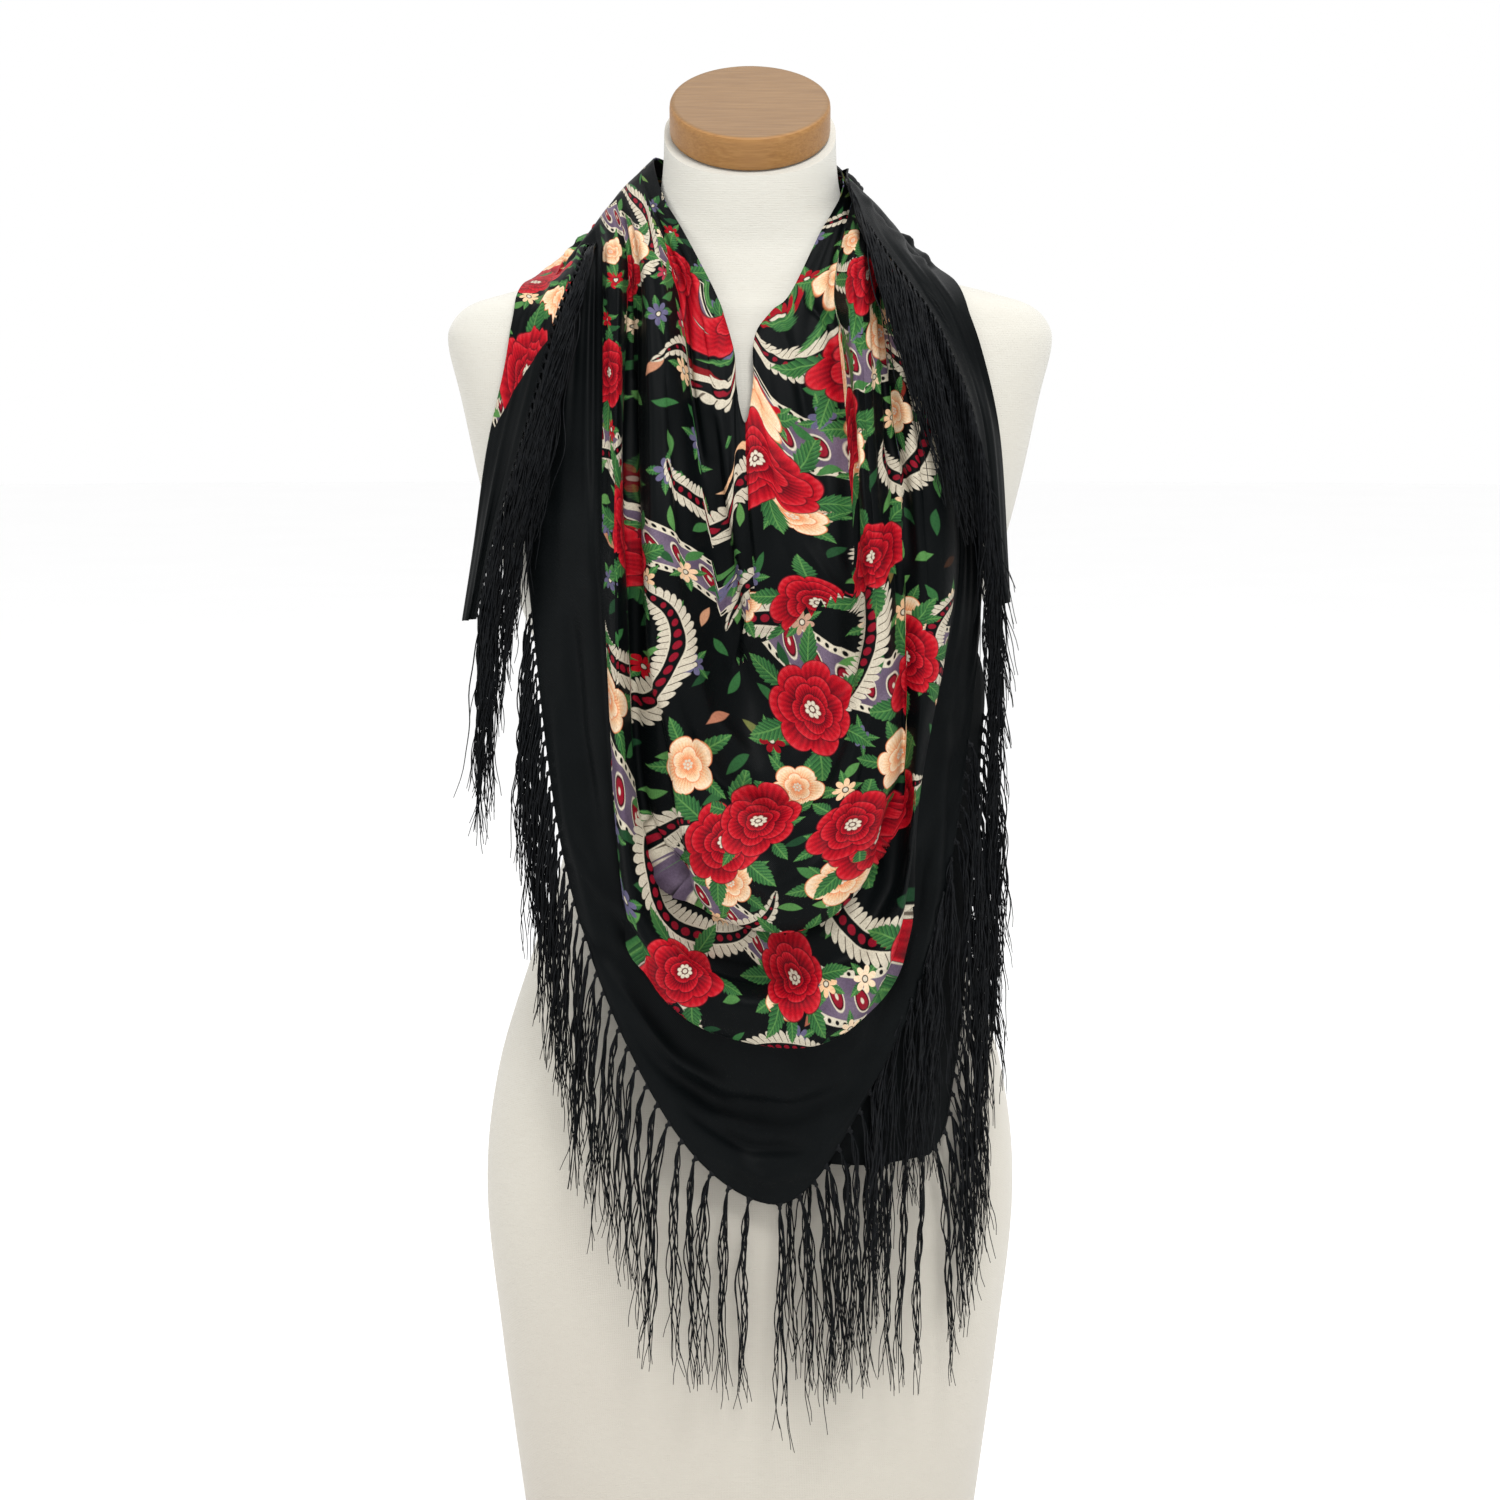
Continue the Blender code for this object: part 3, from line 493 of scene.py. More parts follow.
def buds(under, u, v):
    # small grey-blue daisies and red or peach buds, each on two leaves
    _, _, r, angle, chance = cellOf(u, v, *printSizes["budCell"])
    here = (chance[1] - 0.50).inside(0.02)
    under = leaves(under, r, angle, 0.003, 0.0150, 4, here)
    tone = ramp(chance[2], [(0.0, "daisy"), (0.34, "daisy"), (0.36, "roseLight"), (0.68, "roseMid"),
                            (0.70, "peachLight"), (1.0, "peach")])
    under = spot(under, tone, r, (angle * 3.5).sin().size() ** 0.6 * 0.0058 + 0.0022, here)
    return spot(spot(under, "ground", r, 0.0022, here), "cream", r, 0.0015, here)


def blooms(under, u, v, name, where):
    # one kind of flower on its leaves, in the cells that are chosen from chance and from the flower's own place
    kind = bloomKinds[name]
    x, y, r, angle, chance = cellOf(u, v, *kind["cell"])
    (small, spread), (inner, outer, count) = kind["size"], kind["leaves"]
    here, size = where(chance, u - x, v - y), chance[2] * spread + small
    under = leaves(under, r, angle, size * inner, size * outer, count, here)
    under = flower(under, r, angle, size, kind["petals"], kind["colours"], here)
    return heartDots(under, r, angle, size, kind["dots"], here)


def blossomHere(chance, u, v):
    return (chance[1] - 0.36).inside(0.02)


def roseHere(chance, u, v):
    # by chance, more round the heart of the print and fewer in its quiet band
    midU, midV, reach = printSizes["roseHeart"]
    u, band = u - midU, (v - printSizes["quiet"][0]) * (1 / printSizes["quiet"][1])
    v = v - midV
    crowd = ((u * u + v * v) ** 0.5 * -5 + reach * 5).share()
    return (chance[1] + crowd - (band * band * -0.55 + 0.55).share() - 0.20).inside(0.02)


def clusterHere(chance, u, v):
    # a flat oval at the heart of the print
    u, v = u - printSizes["roseHeart"][0], v - printSizes["roseHeart"][1] - 0.005
    return (0.052 - (u * u * 0.55 + v * v * 1.9) ** 0.5).inside(0.0001)


def printedColour(tree):
    # the whole print on the cloth's own flat coordinates, slightly warped so that no row is ruled
    source = newNode(tree, "UVMap", {}, uv_map="print").outputs[0]
    u, v = (Sum(tree, s) for s in newNode(tree, "SeparateXYZ", {0: source}).outputs[:2])
    driftU = (v * 47).sin() * 0.004 + (u * 23 + v * 31).sin() * 0.005
    driftV = (u * 43).sin() * 0.004 + (v * 29 - u * 19).sin() * 0.005
    u, v = u + driftU, v + driftV
    under = "ground"
    for layer in (ribbons, sprigs, buds, scrolls):
        under = layer(under, u, v)
    for name, where in (("blossom", blossomHere), ("rose", roseHere), ("cluster", clusterHere)):
        under = blooms(under, u, v, name, where)
    return under


finishTones = {
    "black": [(0.25, (0.0015, 0.0022, 0.0025)), (0.8, (0.0035, 0.0046, 0.0050))],
    "weave": [(0.3, (0.78, 0.78, 0.78)), (0.7, (1.0, 1.0, 1.0))],
    "yarn": [(0.3, (0.0018, 0.0022, 0.0026)), (0.75, (0.007, 0.008, 0.0095))],
    "cover": [(0.15, (0.432, 0.398, 0.346)), (0.45, (0.470, 0.445, 0.387)), (0.75, (0.521, 0.513, 0.465))],
    "capSide": [(0.2, (0.220, 0.103, 0.031)), (0.5, (0.278, 0.138, 0.042)), (0.8, (0.336, 0.175, 0.060))],
    "capTop": [(0.2, (0.140, 0.074, 0.029)), (0.5, (0.180, 0.100, 0.040)), (0.8, (0.220, 0.128, 0.054))],
    "floor": [(0.3, (0.975, 0.975, 0.975)), (0.7, (0.985, 0.985, 0.985))],
}


def clothMaterial(name, printed):
    # fine twill with a faint satin light; the print stops at the mark "border", past which the cloth is plain
    material, tree, shader = newMaterial(name, 0.46, **{
        "Sheen Weight": 0.012, "Sheen Roughness": 0.3, "Specular IOR Level": 0.05})
    place, (x, y, z) = objectXYZ(tree)
    cloudy, fine = noiseOn(place, 26.0), noiseOn(place, 900.0, 1.0)
    colour = black = ramp(cloudy, finishTones["black"])
    if printed:
        mark = Sum(tree, newNode(tree, "Attribute", {}, attribute_name="border").outputs["Fac"])
        colour = paint(printedColour(tree), black, mark.inside(0.0015))
    tone = newNode(tree, "Mix", {"Factor": 1.0, "A": colour, "B": ramp(fine, finishTones["weave"])},
                   data_type="RGBA", blend_type="MULTIPLY")
    link(tone.outputs["Result"], shader.inputs["Base Color"])
    twill = ((x + z * 0.8 + y * 0.5) * 5200).sin() * 0.35 + ((z - x * 0.6) * 6100).sin() * 0.15 + 0.5
    bump(shader, [(cloudy, 0.0016, 0.30), (twill, 0.00022, 0.45)])
    return material


def fringeMaterial():
    # black silky yarn with brighter and duller strands
    material, tree, shader = newMaterial("fringeYarn", 0.38, **{"Specular IOR Level": 0.10, "Anisotropic": 0.4})
    place, _ = objectXYZ(tree)
    link(ramp(noiseOn(place, 260.0, 2.0), finishTones["yarn"]), shader.inputs["Base Color"])
    bump(shader, [(noiseOn(place, 1400.0, 1.0), 0.0003, 0.5)])
    return material


def coverMaterial():
    # ivory plain weave, stretched smooth, with faint slubs, and painted shade: darker low down and lighter up towards
    # the neck, as light from above falls on it
    material, tree, shader = newMaterial("formCover", 0.72, **{"Sheen Weight": 0.2, "Specular IOR Level": 0.3})
    place, (x, y, z) = objectXYZ(tree)
    slub = noiseOn(newNode(tree, "Mapping", {"Scale": (1, 1, 9), "Vector": place}).outputs[0], 160.0)
    # painted light and shade: the tone rises with height (z), so the cover is painted darker low down and lighter
    # towards the neck
    tone = noiseOn(place, 5.0) * 0.45 + slub * 0.20 + z * 0.42 - 0.03
    link(ramp(tone, finishTones["cover"]), shader.inputs["Base Color"])
    around = y.maths("ARCTAN2", x)
    warp, weft = (around * 620).sin() * 0.5 + 0.5, (z * 5600).sin() * 0.5 + 0.5
    bump(shader, [(slub, 0.0005, 0.35), (warp.most(weft), 0.00025, 0.5)])
    return material


def woodMaterial():
    # honey wood: rings cut along the grain, paler round the side, brown on the worn top
    material, tree, shader = newMaterial("capWood", 0.42, **{
        "Specular IOR Level": 0.22, "Coat Weight": 0.05, "Coat Roughness": 0.25})
    place, _ = objectXYZ(tree)
    stretched = newNode(tree, "Mapping", {"Scale": (0.06, 1.0, 1.4), "Vector": place}).outputs[0]
    grain, growth = noiseOn(stretched, 620.0, 6.0), noiseOn(stretched, 42.0, 2.0)
    tone = grain * 0.86 + ((growth * 60).sin() * 0.5 + 0.5) * 0.10
    facing = newNode(tree, "SeparateXYZ", {0: newNode(tree, "NewGeometry", {}).outputs["Normal"]})
    onTop = (Sum(tree, facing.outputs[2]) - 0.72).inside(0.15)
    colour = paint(ramp(tone, finishTones["capSide"]), ramp(tone, finishTones["capTop"]), onTop)
    link(colour, shader.inputs["Base Color"])
    bump(shader, [(grain, 0.0006, 0.35)])
    return material


def floorMaterial():
    # matt pale paper with a faint cloud
    material, tree, shader = newMaterial("paleFloor", 0.8)
    place, _ = objectXYZ(tree)
    link(ramp(noiseOn(place, 3.0), finishTones["floor"]), shader.inputs["Base Color"])
    return material


materials = {"printed": clothMaterial("printedTwill", True), "plain": clothMaterial("plainTwill", False),
             "fringe": fringeMaterial(), "cover": coverMaterial(), "wood": woodMaterial(), "floor": floorMaterial()}
print("materials made")

# the form and its cap

formGrid = formPoints()
around = np.arange(formShape["sides"])
after, middle = (around + 1) % len(around), formGrid.shape[0] * len(around)
closing = np.stack([after, middle + 0 * around, around], 1)
roof = np.stack([around, after, 0 * around + len(around) + 1], 1) + middle - len(around)
formTorso = makePiece("formTorso", np.concatenate([formGrid.reshape(-1, 3), formGrid[[0, -1]].mean(1)]),
                      gridFaces(*formGrid.shape[:2], closed=True).tolist() + closing.tolist() + roof.tolist(),
                      materials["cover"])
formTorso.data.set_sharp_from_angle(angle=math.radians(50))
standFor(formTorso, "form_torso")

capShape = {"radius": 51.5, "thick": 23.5, "seat": 0.3, "tilt": 29.0, "sides": 128,
            "profile": [(0.5, 0.0), (0.93, 0.0), (0.975, 0.03), (0.995, 0.09), (1.0, 0.2), (1.0, 0.5),
                        (1.0, 0.8), (0.996, 0.90), (0.982, 0.965), (0.955, 0.996), (0.92, 1.0), (0.5, 1.0)]}


def capPoints():
    # a turned disc: its profile carried round an axis that leans forward with the neck
    lean, angle = math.radians(capShape["tilt"]), np.arange(capShape["sides"]) * 2 * math.pi / capShape["sides"]
    up, front = np.array([0, -math.sin(lean), math.cos(lean)]), np.array([0, math.cos(lean), math.sin(lean)])
    rim = np.cos(angle)[:, None] * np.array([1.0, 0, 0]) + np.sin(angle)[:, None] * front
    seat = formGrid[-1].mean(0) + up * capShape["seat"]
    profile = np.array(capShape["profile"])
    return seat + profile[:, :1, None] * capShape["radius"] * rim + profile[:, 1:, None] * capShape["thick"] * up


capGrid = capPoints()
capRim = list(range(capShape["sides"]))
capTop = [capGrid.shape[0] * len(capRim) - len(capRim) + k for k in capRim]
capFaces = gridFaces(*capGrid.shape[:2], closed=True).tolist() + [capRim[::-1], capTop]
neckCap = makePiece("formNeckCap", capGrid, capFaces, materials["wood"])
neckCap.data.set_sharp_from_angle(angle=math.radians(35))
standFor(neckCap, "form_neck_cap")
print("form made:", len(formTorso.data.polygons), "faces")

# second layer of the folded square, at the lower right

hang = hangField()
underShape = {
    "rows": [  # height, left, right, sag
        (640, 20, 118, 0), (585, 0, 150, 0), (520, -20, 150, 0), (421, -30, 143, 0), (356, -25, 138, 0),
        (310, -15, 132, 3), (281, 5, 127, 7), (264, 20, 117, 7)],
    "across": 60, "down": 110, "wall": 0.8, "gap": 2.3, "fringeTop": 0.22,
}


def underPoints(across, down):
    # straight rows from side to side that sag a little, with one and a half soft waves off the form
    rows = spline(underShape["rows"], np.linspace(0, len(underShape["rows"]) - 1, down))
    side = np.linspace(0, 1, across)
    x = rows[:, 1:2] + (rows[:, 2:3] - rows[:, 1:2]) * side
    z = rows[:, :1] - rows[:, 3:4] * np.sin(math.pi * side)
    x, z, depth = sightOn(hang, x, z, 0.5 + 1.5 * (1 - np.cos(3 * math.pi * side)) * np.ones_like(x))
    return np.stack([x, -depth, z], 2)


underGrid = clearOf(underPoints(underShape["across"], underShape["down"]), [(formTorso, underShape["gap"])], flip=True)
onUnder = raiseField(hang, underGrid)

# the front: cowl, folds and border panel

frontShape = {
    # left top, middle and side, height of its spring, lowest place and height, roundness left and right, height of the
    # right spring, right side, middle and top, and how far the left, the lowest and the right part stand forward
    "folds": [
        (-25, -16, -10, 784, -3, 740, 1.7, 1.7, 796, 3, 14, 29, 5, 7, 5),
        (-37, -24, -13, 690, -2, 648, 1.7, 1.6, 700, 22, 32, 42, 12, 14, 7),
        (-46, -34, -21, 640, 6, 566, 1.8, 2.0, 640, 64, 60, 54, 4, 8, 3),
        (-57, -50, -46, 600, 16, 500, 2.0, 2.2, 600, 80, 72, 66, 25, 37, 24),
        (-68, -64, -62, 560, 20, 432, 2.1, 2.3, 560, 91, 82, 74, 23, 50, 22),
        (-72, -71, -69, 520, 20, 409, 2.2, 2.2, 540, 96, 88, 79, 8, 38, 9),
        (-77, -78, -74, 520, 24, 418, 2.2, 2.2, 530, 100, 96, 83, 2, 18, 3),
        (-86, -87, -82, 490, 26, 352, 2.3, 2.3, 510, 107, 116, 90, 23, 41, 20),
        (-94, -94, -87, 480, 25, 334, 2.4, 2.4, 500, 110, 132, 97, 14, 31, 13),
        (-98, -98, -87, 480, 24, 341, 2.4, 2.4, 500, 109, 135, 99, 3, 11, 3),
        (-104, -105, -96, 520, 21, 316, 2.1, 2.3, 500, 115, 138, 102, 2, 8, 2),
        (-111, -117, -114, 540, 18, 284, 1.9, 1.95, 500, 124, 141, 107, 2, 4, 2),
        (-117, -130, -128, 570, 15, 258, 1.85, 1.75, 500, 133, 145, 112, 2, 9, 2),
        (-123, -146, -142, 620, 14, 232, 1.75, 1.55, 543, 143, 149, 117, 2, 6, 2)],
    "topHeight": 829.0,
    "gather": {  # from the neckline to the hem
        "leftCrest": ((-62, 6, 904), (-112, 12, 846)), "rightCrest": ((58, 6, 897), (113, 12, 836)),
        "leftBack": ((-44, 50, 905), (-82, 82, 826)), "rightBack": ((42, 50, 901), (80, 82, 822)),
        "nape": ((0, 62, 906), (0, 96, 812))},
    "crestBow": 9.0, "napeFolds": 3, "napeProud": 5.0,
    "roughAcross": 96, "roughDown": 40, "across": 300, "down": 155, "backShare": 0.4,
    "layerGap": 2.2, "gap": 3.6, "wall": 0.7, "overLayer": 1.2, "overForm": 1.5,
    "printEnds": 8.55,
    # fold whose print lies as seen; pleats and the cloth they hide; share of each crease's depth
    "anchor": 4.2, "hidden": [(2.0, 22.0), (6.1, 30.0)], "creaseShare": 1.45,
    "lap": {"line": [(-3, 742), (-2.6, 717), (-0.6, 676), (2.6, 640), (-6, 596), (-11, 583)], "proud": 5.5,
            "wide": 26.0, "step": 1.2, "turned": [(-11, 583), (7, 594), (20, 604), (31, 614), (62, 628)],
            "shift": (0.037, 0.031)},
}


def foldStations():
    # sixteen points round each fold: nape, left back, left crest, eleven over the front, right crest, right back
    table, last = [], len(frontShape["folds"]) - 1
    for k, row in enumerate(frontShape["folds"]):
        lt, lm, ls, lz, low, lowZ, nLeft, nRight, rz, rs, rm, rt, liftL, liftLow, liftR = row
        top = frontShape["topHeight"]
        bends = []
        for degrees, side, spring, power, lift in ((32, ls, lz, 2 / nLeft, liftL), (62, ls, lz, 2 / nLeft, liftL),
                                                   (62, rs, rz, 2 / nRight, liftR), (32, rs, rz, 2 / nRight, liftR)):
            c, s = math.cos(math.radians(degrees)), math.sin(math.radians(degrees))
            bends.append((low + (side - low) * c ** power, spring - (spring - lowZ) * s ** power,
                          lift + (liftLow - lift) * s ** 2))
        seen = np.array([(lt, top, liftL), (lm, (top + lz) / 2, liftL), (ls, lz, liftL), *bends[:2],
                         (low, lowZ, liftLow), *bends[2:], (rs, rz, liftR), (rm, (top + rz) / 2, liftR),
                         (rt, top, liftR)], float)
        x, z, depth = sightOn(hang, seen[:, 0], seen[:, 1], seen[:, 2])
        ahead = np.stack([x, z, depth, seen[:, 2], np.ones(len(x))], 1)
        share, behind = k / last, {}
        wave = frontShape["napeProud"] * (1 - math.cos(2 * math.pi * frontShape["napeFolds"] * share))
        for name, (first, final) in frontShape["gather"].items():
            px, py, pz = (a + (b - a) * share for a, b in zip(first, final))
            bow = frontShape["crestBow"] * math.sin(math.pi * share) if "Crest" in name else 0.0
            proud = 0.0 if "Crest" in name else wave
            behind[name] = (px, pz + bow, -(py + proud), 0.0, 0.0)
        table.append([behind["nape"], behind["leftBack"], behind["leftCrest"], *ahead,
                      behind["rightCrest"], behind["rightBack"]])
    return np.array(table)


def frontRough(across, down):
    # a coarse grid from the neckline to the hem, each row a loop round the neck, laid on the layer below
    stations = foldStations()
    rows = spline(stations, np.linspace(0, len(stations) - 1, down))
    loops = spline(rows.transpose(1, 0, 2), np.arange(across) * 16 / across, closed=True).transpose(1, 0, 2)
    x, z, depth, lift, counts = np.moveaxis(loops, 2, 0)
    counts = np.clip(counts, 0, 1)
    y = -(counts * (readField(onUnder, x, z) + lift) + (1 - counts) * depth)
    y -= np.clip(-y / 20, 0, 1) * frontShape["layerGap"]
    return np.stack([x, y, z], 2)


def lineDistance(x, z, path):
    # distance from points to a line of straight stretches, how far along it, and the side they lie on
    nearest, place, side = np.full(x.shape, 1e9), np.zeros(x.shape), np.zeros(x.shape)
    for k, ((ax, az), (bx, bz)) in enumerate(zip(path[:-1], path[1:])):
        dx, dz = bx - ax, bz - az
        t = np.clip(((x - ax) * dx + (z - az) * dz) / (dx * dx + dz * dz), 0, 1)
        far = np.hypot(x - ax - t * dx, z - az - t * dz)
        closer = far < nearest
        nearest, place = np.where(closer, far, nearest), np.where(closer, k + t, place)
        side = np.where(closer, np.sign((x - ax) * dz - (z - az) * dx), side)
    return nearest, place / (len(path) - 1), side


creaseTable = {  # line in the front view, half width, depth (a ridge if negative)
    "lapCorner": ([(-11, 583), (7, 594), (20, 604), (31, 614), (56, 626)], 5.0, 3.2),
    "rightDart": ([(36, 824), (44, 812), (54, 803)], 3.0, 3.0),
    "valleyA": ([(-78, 826), (-78, 740), (-76, 660), (-72, 590), (-60, 520)], 4.0, 3.4),
    "valleyB": ([(-24, 742), (-20, 690), (-10, 630), (-7, 604)], 3.6, 4.0),
    "rightValley": ([(54, 812), (60, 765), (64, 717), (67, 603), (60, 560)], 4.2, 4.5),
    "rightStep": ([(42, 745), (44, 700), (43, 662)], 3.5, 2.6),
    "outerRight": ([(90, 734), (98, 702), (104, 650)], 4.0, 3.2),
    "leftTuck": ([(-66, 900), (-64, 872), (-60, 848)], 3.0, 3.0),
    "leftSlantA": ([(-94, 430), (-80, 405), (-62, 383)], 4.5, 3.6),
    "leftSlantB": ([(-104, 402), (-90, 392), (-74, 389)], 4.0, 3.0),
    "leftSlantC": ([(-112, 470), (-100, 440), (-84, 418)], 4.5, -3.2),
    "bellyA": ([(-38, 560), (-20, 512), (10, 488), (44, 500), (62, 548)], 7.0, 8.5),
    "bellyB": ([(-44, 600), (-30, 548), (0, 520)], 6.0, -4.6),
    "bellyC": ([(70, 640), (60, 570), (34, 528)], 5.5, 4.4),
    "bellyD": ([(-30, 466), (18, 436), (68, 468)], 9.0, -6.0),
    "bellyE": ([(-64, 552), (-58, 486), (-47, 428), (-26, 396)], 8.5, 8.0),
    "bellyF": ([(84, 560), (74, 500), (52, 448)], 5.5, 4.6),
    "rollA": ([(-62, 428), (-30, 392), (20, 378), (72, 400)], 9.0, 10.5),
    "rollB": ([(-50, 398), (-10, 362), (40, 358)], 6.0, -5.4),
    "rollC": ([(98, 500), (90, 440), (66, 392)], 7.5, 6.5),
    "troughA": ([(-66, 330), (-20, 296), (26, 290), (60, 304)], 7.0, 5.2),
    "troughB": ([(-40, 292), (0, 268), (40, 268)], 5.5, 4.2),
    "troughC": ([(-86, 372), (-50, 326), (-20, 310)], 6.0, -5.0),
    "troughD": ([(-22, 262), (10, 248), (34, 252)], 4.0, -2.4),
    "panelLeft": ([(-118, 620), (-112, 540), (-100, 470)], 5.5, 3.4),
    "panelLeftB": ([(-128, 560), (-118, 480), (-98, 400)], 4.5, -2.6),
    "panelRight": ([(116, 470), (104, 400), (76, 330)], 6.0, 3.6),
    "panelRightB": ([(126, 540), (120, 440), (100, 350)], 5.0, -2.6),
    "ridgeB": ([(-92, 820), (-93, 740), (-90, 640), (-86, 560)], 4.0, 2.6),
    "ridgeC": ([(-58, 800), (-50, 740), (-44, 680), (-38, 620)], 4.0, 3.0),
    "ridgeCsplit": ([(-38, 830), (-33, 770), (-27, 720)], 3.0, -2.4),
    "ridgeF": ([(72, 820), (78, 740), (84, 640), (84, 580)], 4.0, 3.2),
    "ridgeG": ([(101, 800), (112, 720), (118, 640), (114, 560)], 4.5, 3.2),
    "neckRight": ([(22, 800), (34, 760), (40, 720)], 4.0, 2.4),
    "neckLeft": ([(-50, 880), (-44, 840), (-30, 790), (-18, 750)], 4.0, 2.4),
}


def creased(points, ahead):
    # the grid moved along its normals: each crease a bell-shaped trough that fades towards both its ends
    x, z = seenAt(points)
    deep = np.zeros(x.shape)
    for path, width, depth in creaseTable.values():
        far, along, _ = lineDistance(x, z, path)
        fade = np.sin(math.pi * np.clip(along * 0.9 + 0.05, 0, 1)) ** 0.6
        deep += frontShape["creaseShare"] * depth * np.exp(-(far / width) ** 2) * fade
    lap = frontShape["lap"]
    far, along, side = lineDistance(x, z, lap["line"])
    over = np.exp(-(far / lap["wide"]) ** 2) * np.clip(far / lap["step"], 0, 1) * (side < 0)
    deep -= lap["proud"] * over * np.clip(along * 4, 0, 1) * np.clip((1 - along) * 5, 0, 1)
    return points - normalsOf(points) * (deep * ahead)[..., None]


def rippled(points, ahead, stations):
    # fine uneven pleats at the shoulders: three sines across the folds, each fading down the front at its own rate
    folds = np.linspace(0, 13, points.shape[0])[:, None]
    high = np.clip((points[..., 2] - 560) / 260, 0, 1)
    wander = np.sin(stations[None, :] * 1.9) * 0.5
    pleat = (np.sin(folds * 5.1 + wander) * high + 0.7 * np.sin(folds * 8.3 + 1 - wander * 2) * high ** 2
             + 0.4 * np.sin(folds * 2.3 + stations[None, :] * 0.8))
    return points + normalsOf(points) * (pleat * ahead)[..., None] * 0.85


def frontFine(rough):
    # the settled coarse grid refined along both directions, with more columns over the front
    rows, columns = frontShape["down"], frontShape["across"]
    dense = np.linspace(0, 16, 1601)
    middle = spline(rough[rough.shape[0] // 2], dense * rough.shape[1] / 16, closed=True)
    weight = np.where((dense > 2.4) & (dense < 13.6), 1.0, frontShape["backShare"])[1:]
    run = np.concatenate([[0], np.cumsum(np.linalg.norm(np.diff(middle, axis=0), axis=1) * weight)])
    stations = np.interp(np.linspace(0, run[-1], columns + 1)[:-1], run, dense)
    fine = spline(rough, np.linspace(0, len(rough) - 1, rows))
    fine = spline(fine.transpose(1, 0, 2), stations * rough.shape[1] / 16, closed=True).transpose(1, 0, 2)
    ahead = np.clip((stations - 2.2) / 0.8, 0, 1) * np.clip((13.8 - stations) / 0.8, 0, 1)
    ahead = ahead[None, :] * np.clip(-fine[..., 1] / 20, 0, 1)
    fine = rippled(fine, ahead, stations)
    return creased(fine, ahead), fine, stations


def printMap(points, stations):
    # flat print coordinates: one fold's place in the front view, and from it each next fold at its true distance
    # in the direction seen, with the cloth that each pleat hides added on the legs; behind the shoulders the
    # strips run straight on, and the layer under the lap has its own place in the print
    rows = points.shape[0]
    ring, stations = np.concatenate([points, points[:, :1]], 1), np.append(stations, 16.0)
    folds = np.linspace(0, 13, rows)
    seen = np.stack(seenAt(ring), 2)
    step, true = np.diff(seen, axis=0), np.linalg.norm(np.diff(ring, axis=0), axis=2)
    smooth = np.array([np.convolve(np.pad(s, 6, "edge"), np.ones(13) / 13, "valid")
                       for s in step.reshape(rows - 1, -1).T]).T
    way = unit(smooth.reshape(step.shape))
    leg = np.clip((np.abs(stations - 8) - 1.3) / 2.0, 0, 1) ** 2
    for fold, width in frontShape["hidden"]:
        true[int(round(fold / 13 * (rows - 1)))] += width * leg
    top = int(round(frontShape["anchor"] / 13 * (rows - 1)))
    run = np.concatenate([np.zeros((1,) + way.shape[1:]), np.cumsum(way * true[..., None], axis=0)])
    place = seen[top] + run - run[top]
    along = np.cumsum(np.linalg.norm(np.diff(ring, axis=1, prepend=ring[:, :1]), axis=2), axis=1)
    left, right = (int(np.argmin(np.abs(stations - s))) for s in (3.0, 13.0))
    for part, edge, sign in ((slice(0, left), left, -1), (slice(right + 1, None), right, 1)):
        away = (along[:, part] - along[:, edge:edge + 1]) * sign
        place[:, part] = place[:, edge:edge + 1] + np.stack([0 * away, away], 2)
    corner = np.stack([place[:-1, :-1], place[:-1, 1:], place[1:, 1:], place[1:, :-1]], 2) / 1000
    middle, lap = (seen[:-1, :-1] + seen[1:, 1:]) / 2, frontShape["lap"]
    edge, turned = np.array(lap["line"][::-1], float), np.array(lap["turned"], float)
    below = ((folds[:-1, None] < 2.0) & (stations[None, :-1] > 5)
             & (middle[..., 0] > np.interp(middle[..., 1], edge[:, 1], edge[:, 0]))
             & (middle[..., 1] > np.interp(middle[..., 0], turned[:, 0], turned[:, 1])))
    corner[below] += np.array(lap["shift"])
    return corner[:, :, ::-1].reshape(-1, 2)  # faces are wound the other way


rough = frontRough(frontShape["roughAcross"], frontShape["roughDown"])
rough = clearOf(rough, [(formTorso, frontShape["gap"])], closed=True, flip=True)
frontGrid, smoothGrid, frontStations = frontFine(rough)
farBack = 500.0  # where the second layer isn't
layer = readField(raiseField(hang * 0 - farBack, underGrid, 0), frontGrid[..., 0], frontGrid[..., 2])
layer += frontShape["overLayer"]
frontGrid[..., 1] = np.minimum(frontGrid[..., 1], np.where(frontGrid[..., 1] < 0, -layer, farBack))
frontGrid = clearOf(frontGrid, [(formTorso, frontShape["overForm"])], closed=True, flip=True)
foldMarks = np.linspace(0, 13, frontShape["down"])[:, None] * np.ones(frontShape["across"])
behindEnd = np.clip(frontStations - 13.1, 0, 1)[None, :] * np.clip(foldMarks - 3.0, 0, 1)
borderMark = np.maximum((foldMarks - frontShape["printEnds"]) * 0.02, (behindEnd - 0.1) * 0.05)
scarfFront = makePiece("scarfFront", frontGrid, gridFaces(*frontGrid.shape[:2], closed=True, flip=True),
                       materials["printed"], printMap(smoothGrid, frontStations), {"border": borderMark})
giveWall(scarfFront, frontShape["wall"])
print("front made:", frontGrid.shape)

scarfUnder = makePiece("scarfUnderLayer", underGrid, gridFaces(*underGrid.shape[:2], flip=True), materials["plain"])
giveWall(scarfUnder, underShape["wall"])

# the two ends over the shoulders

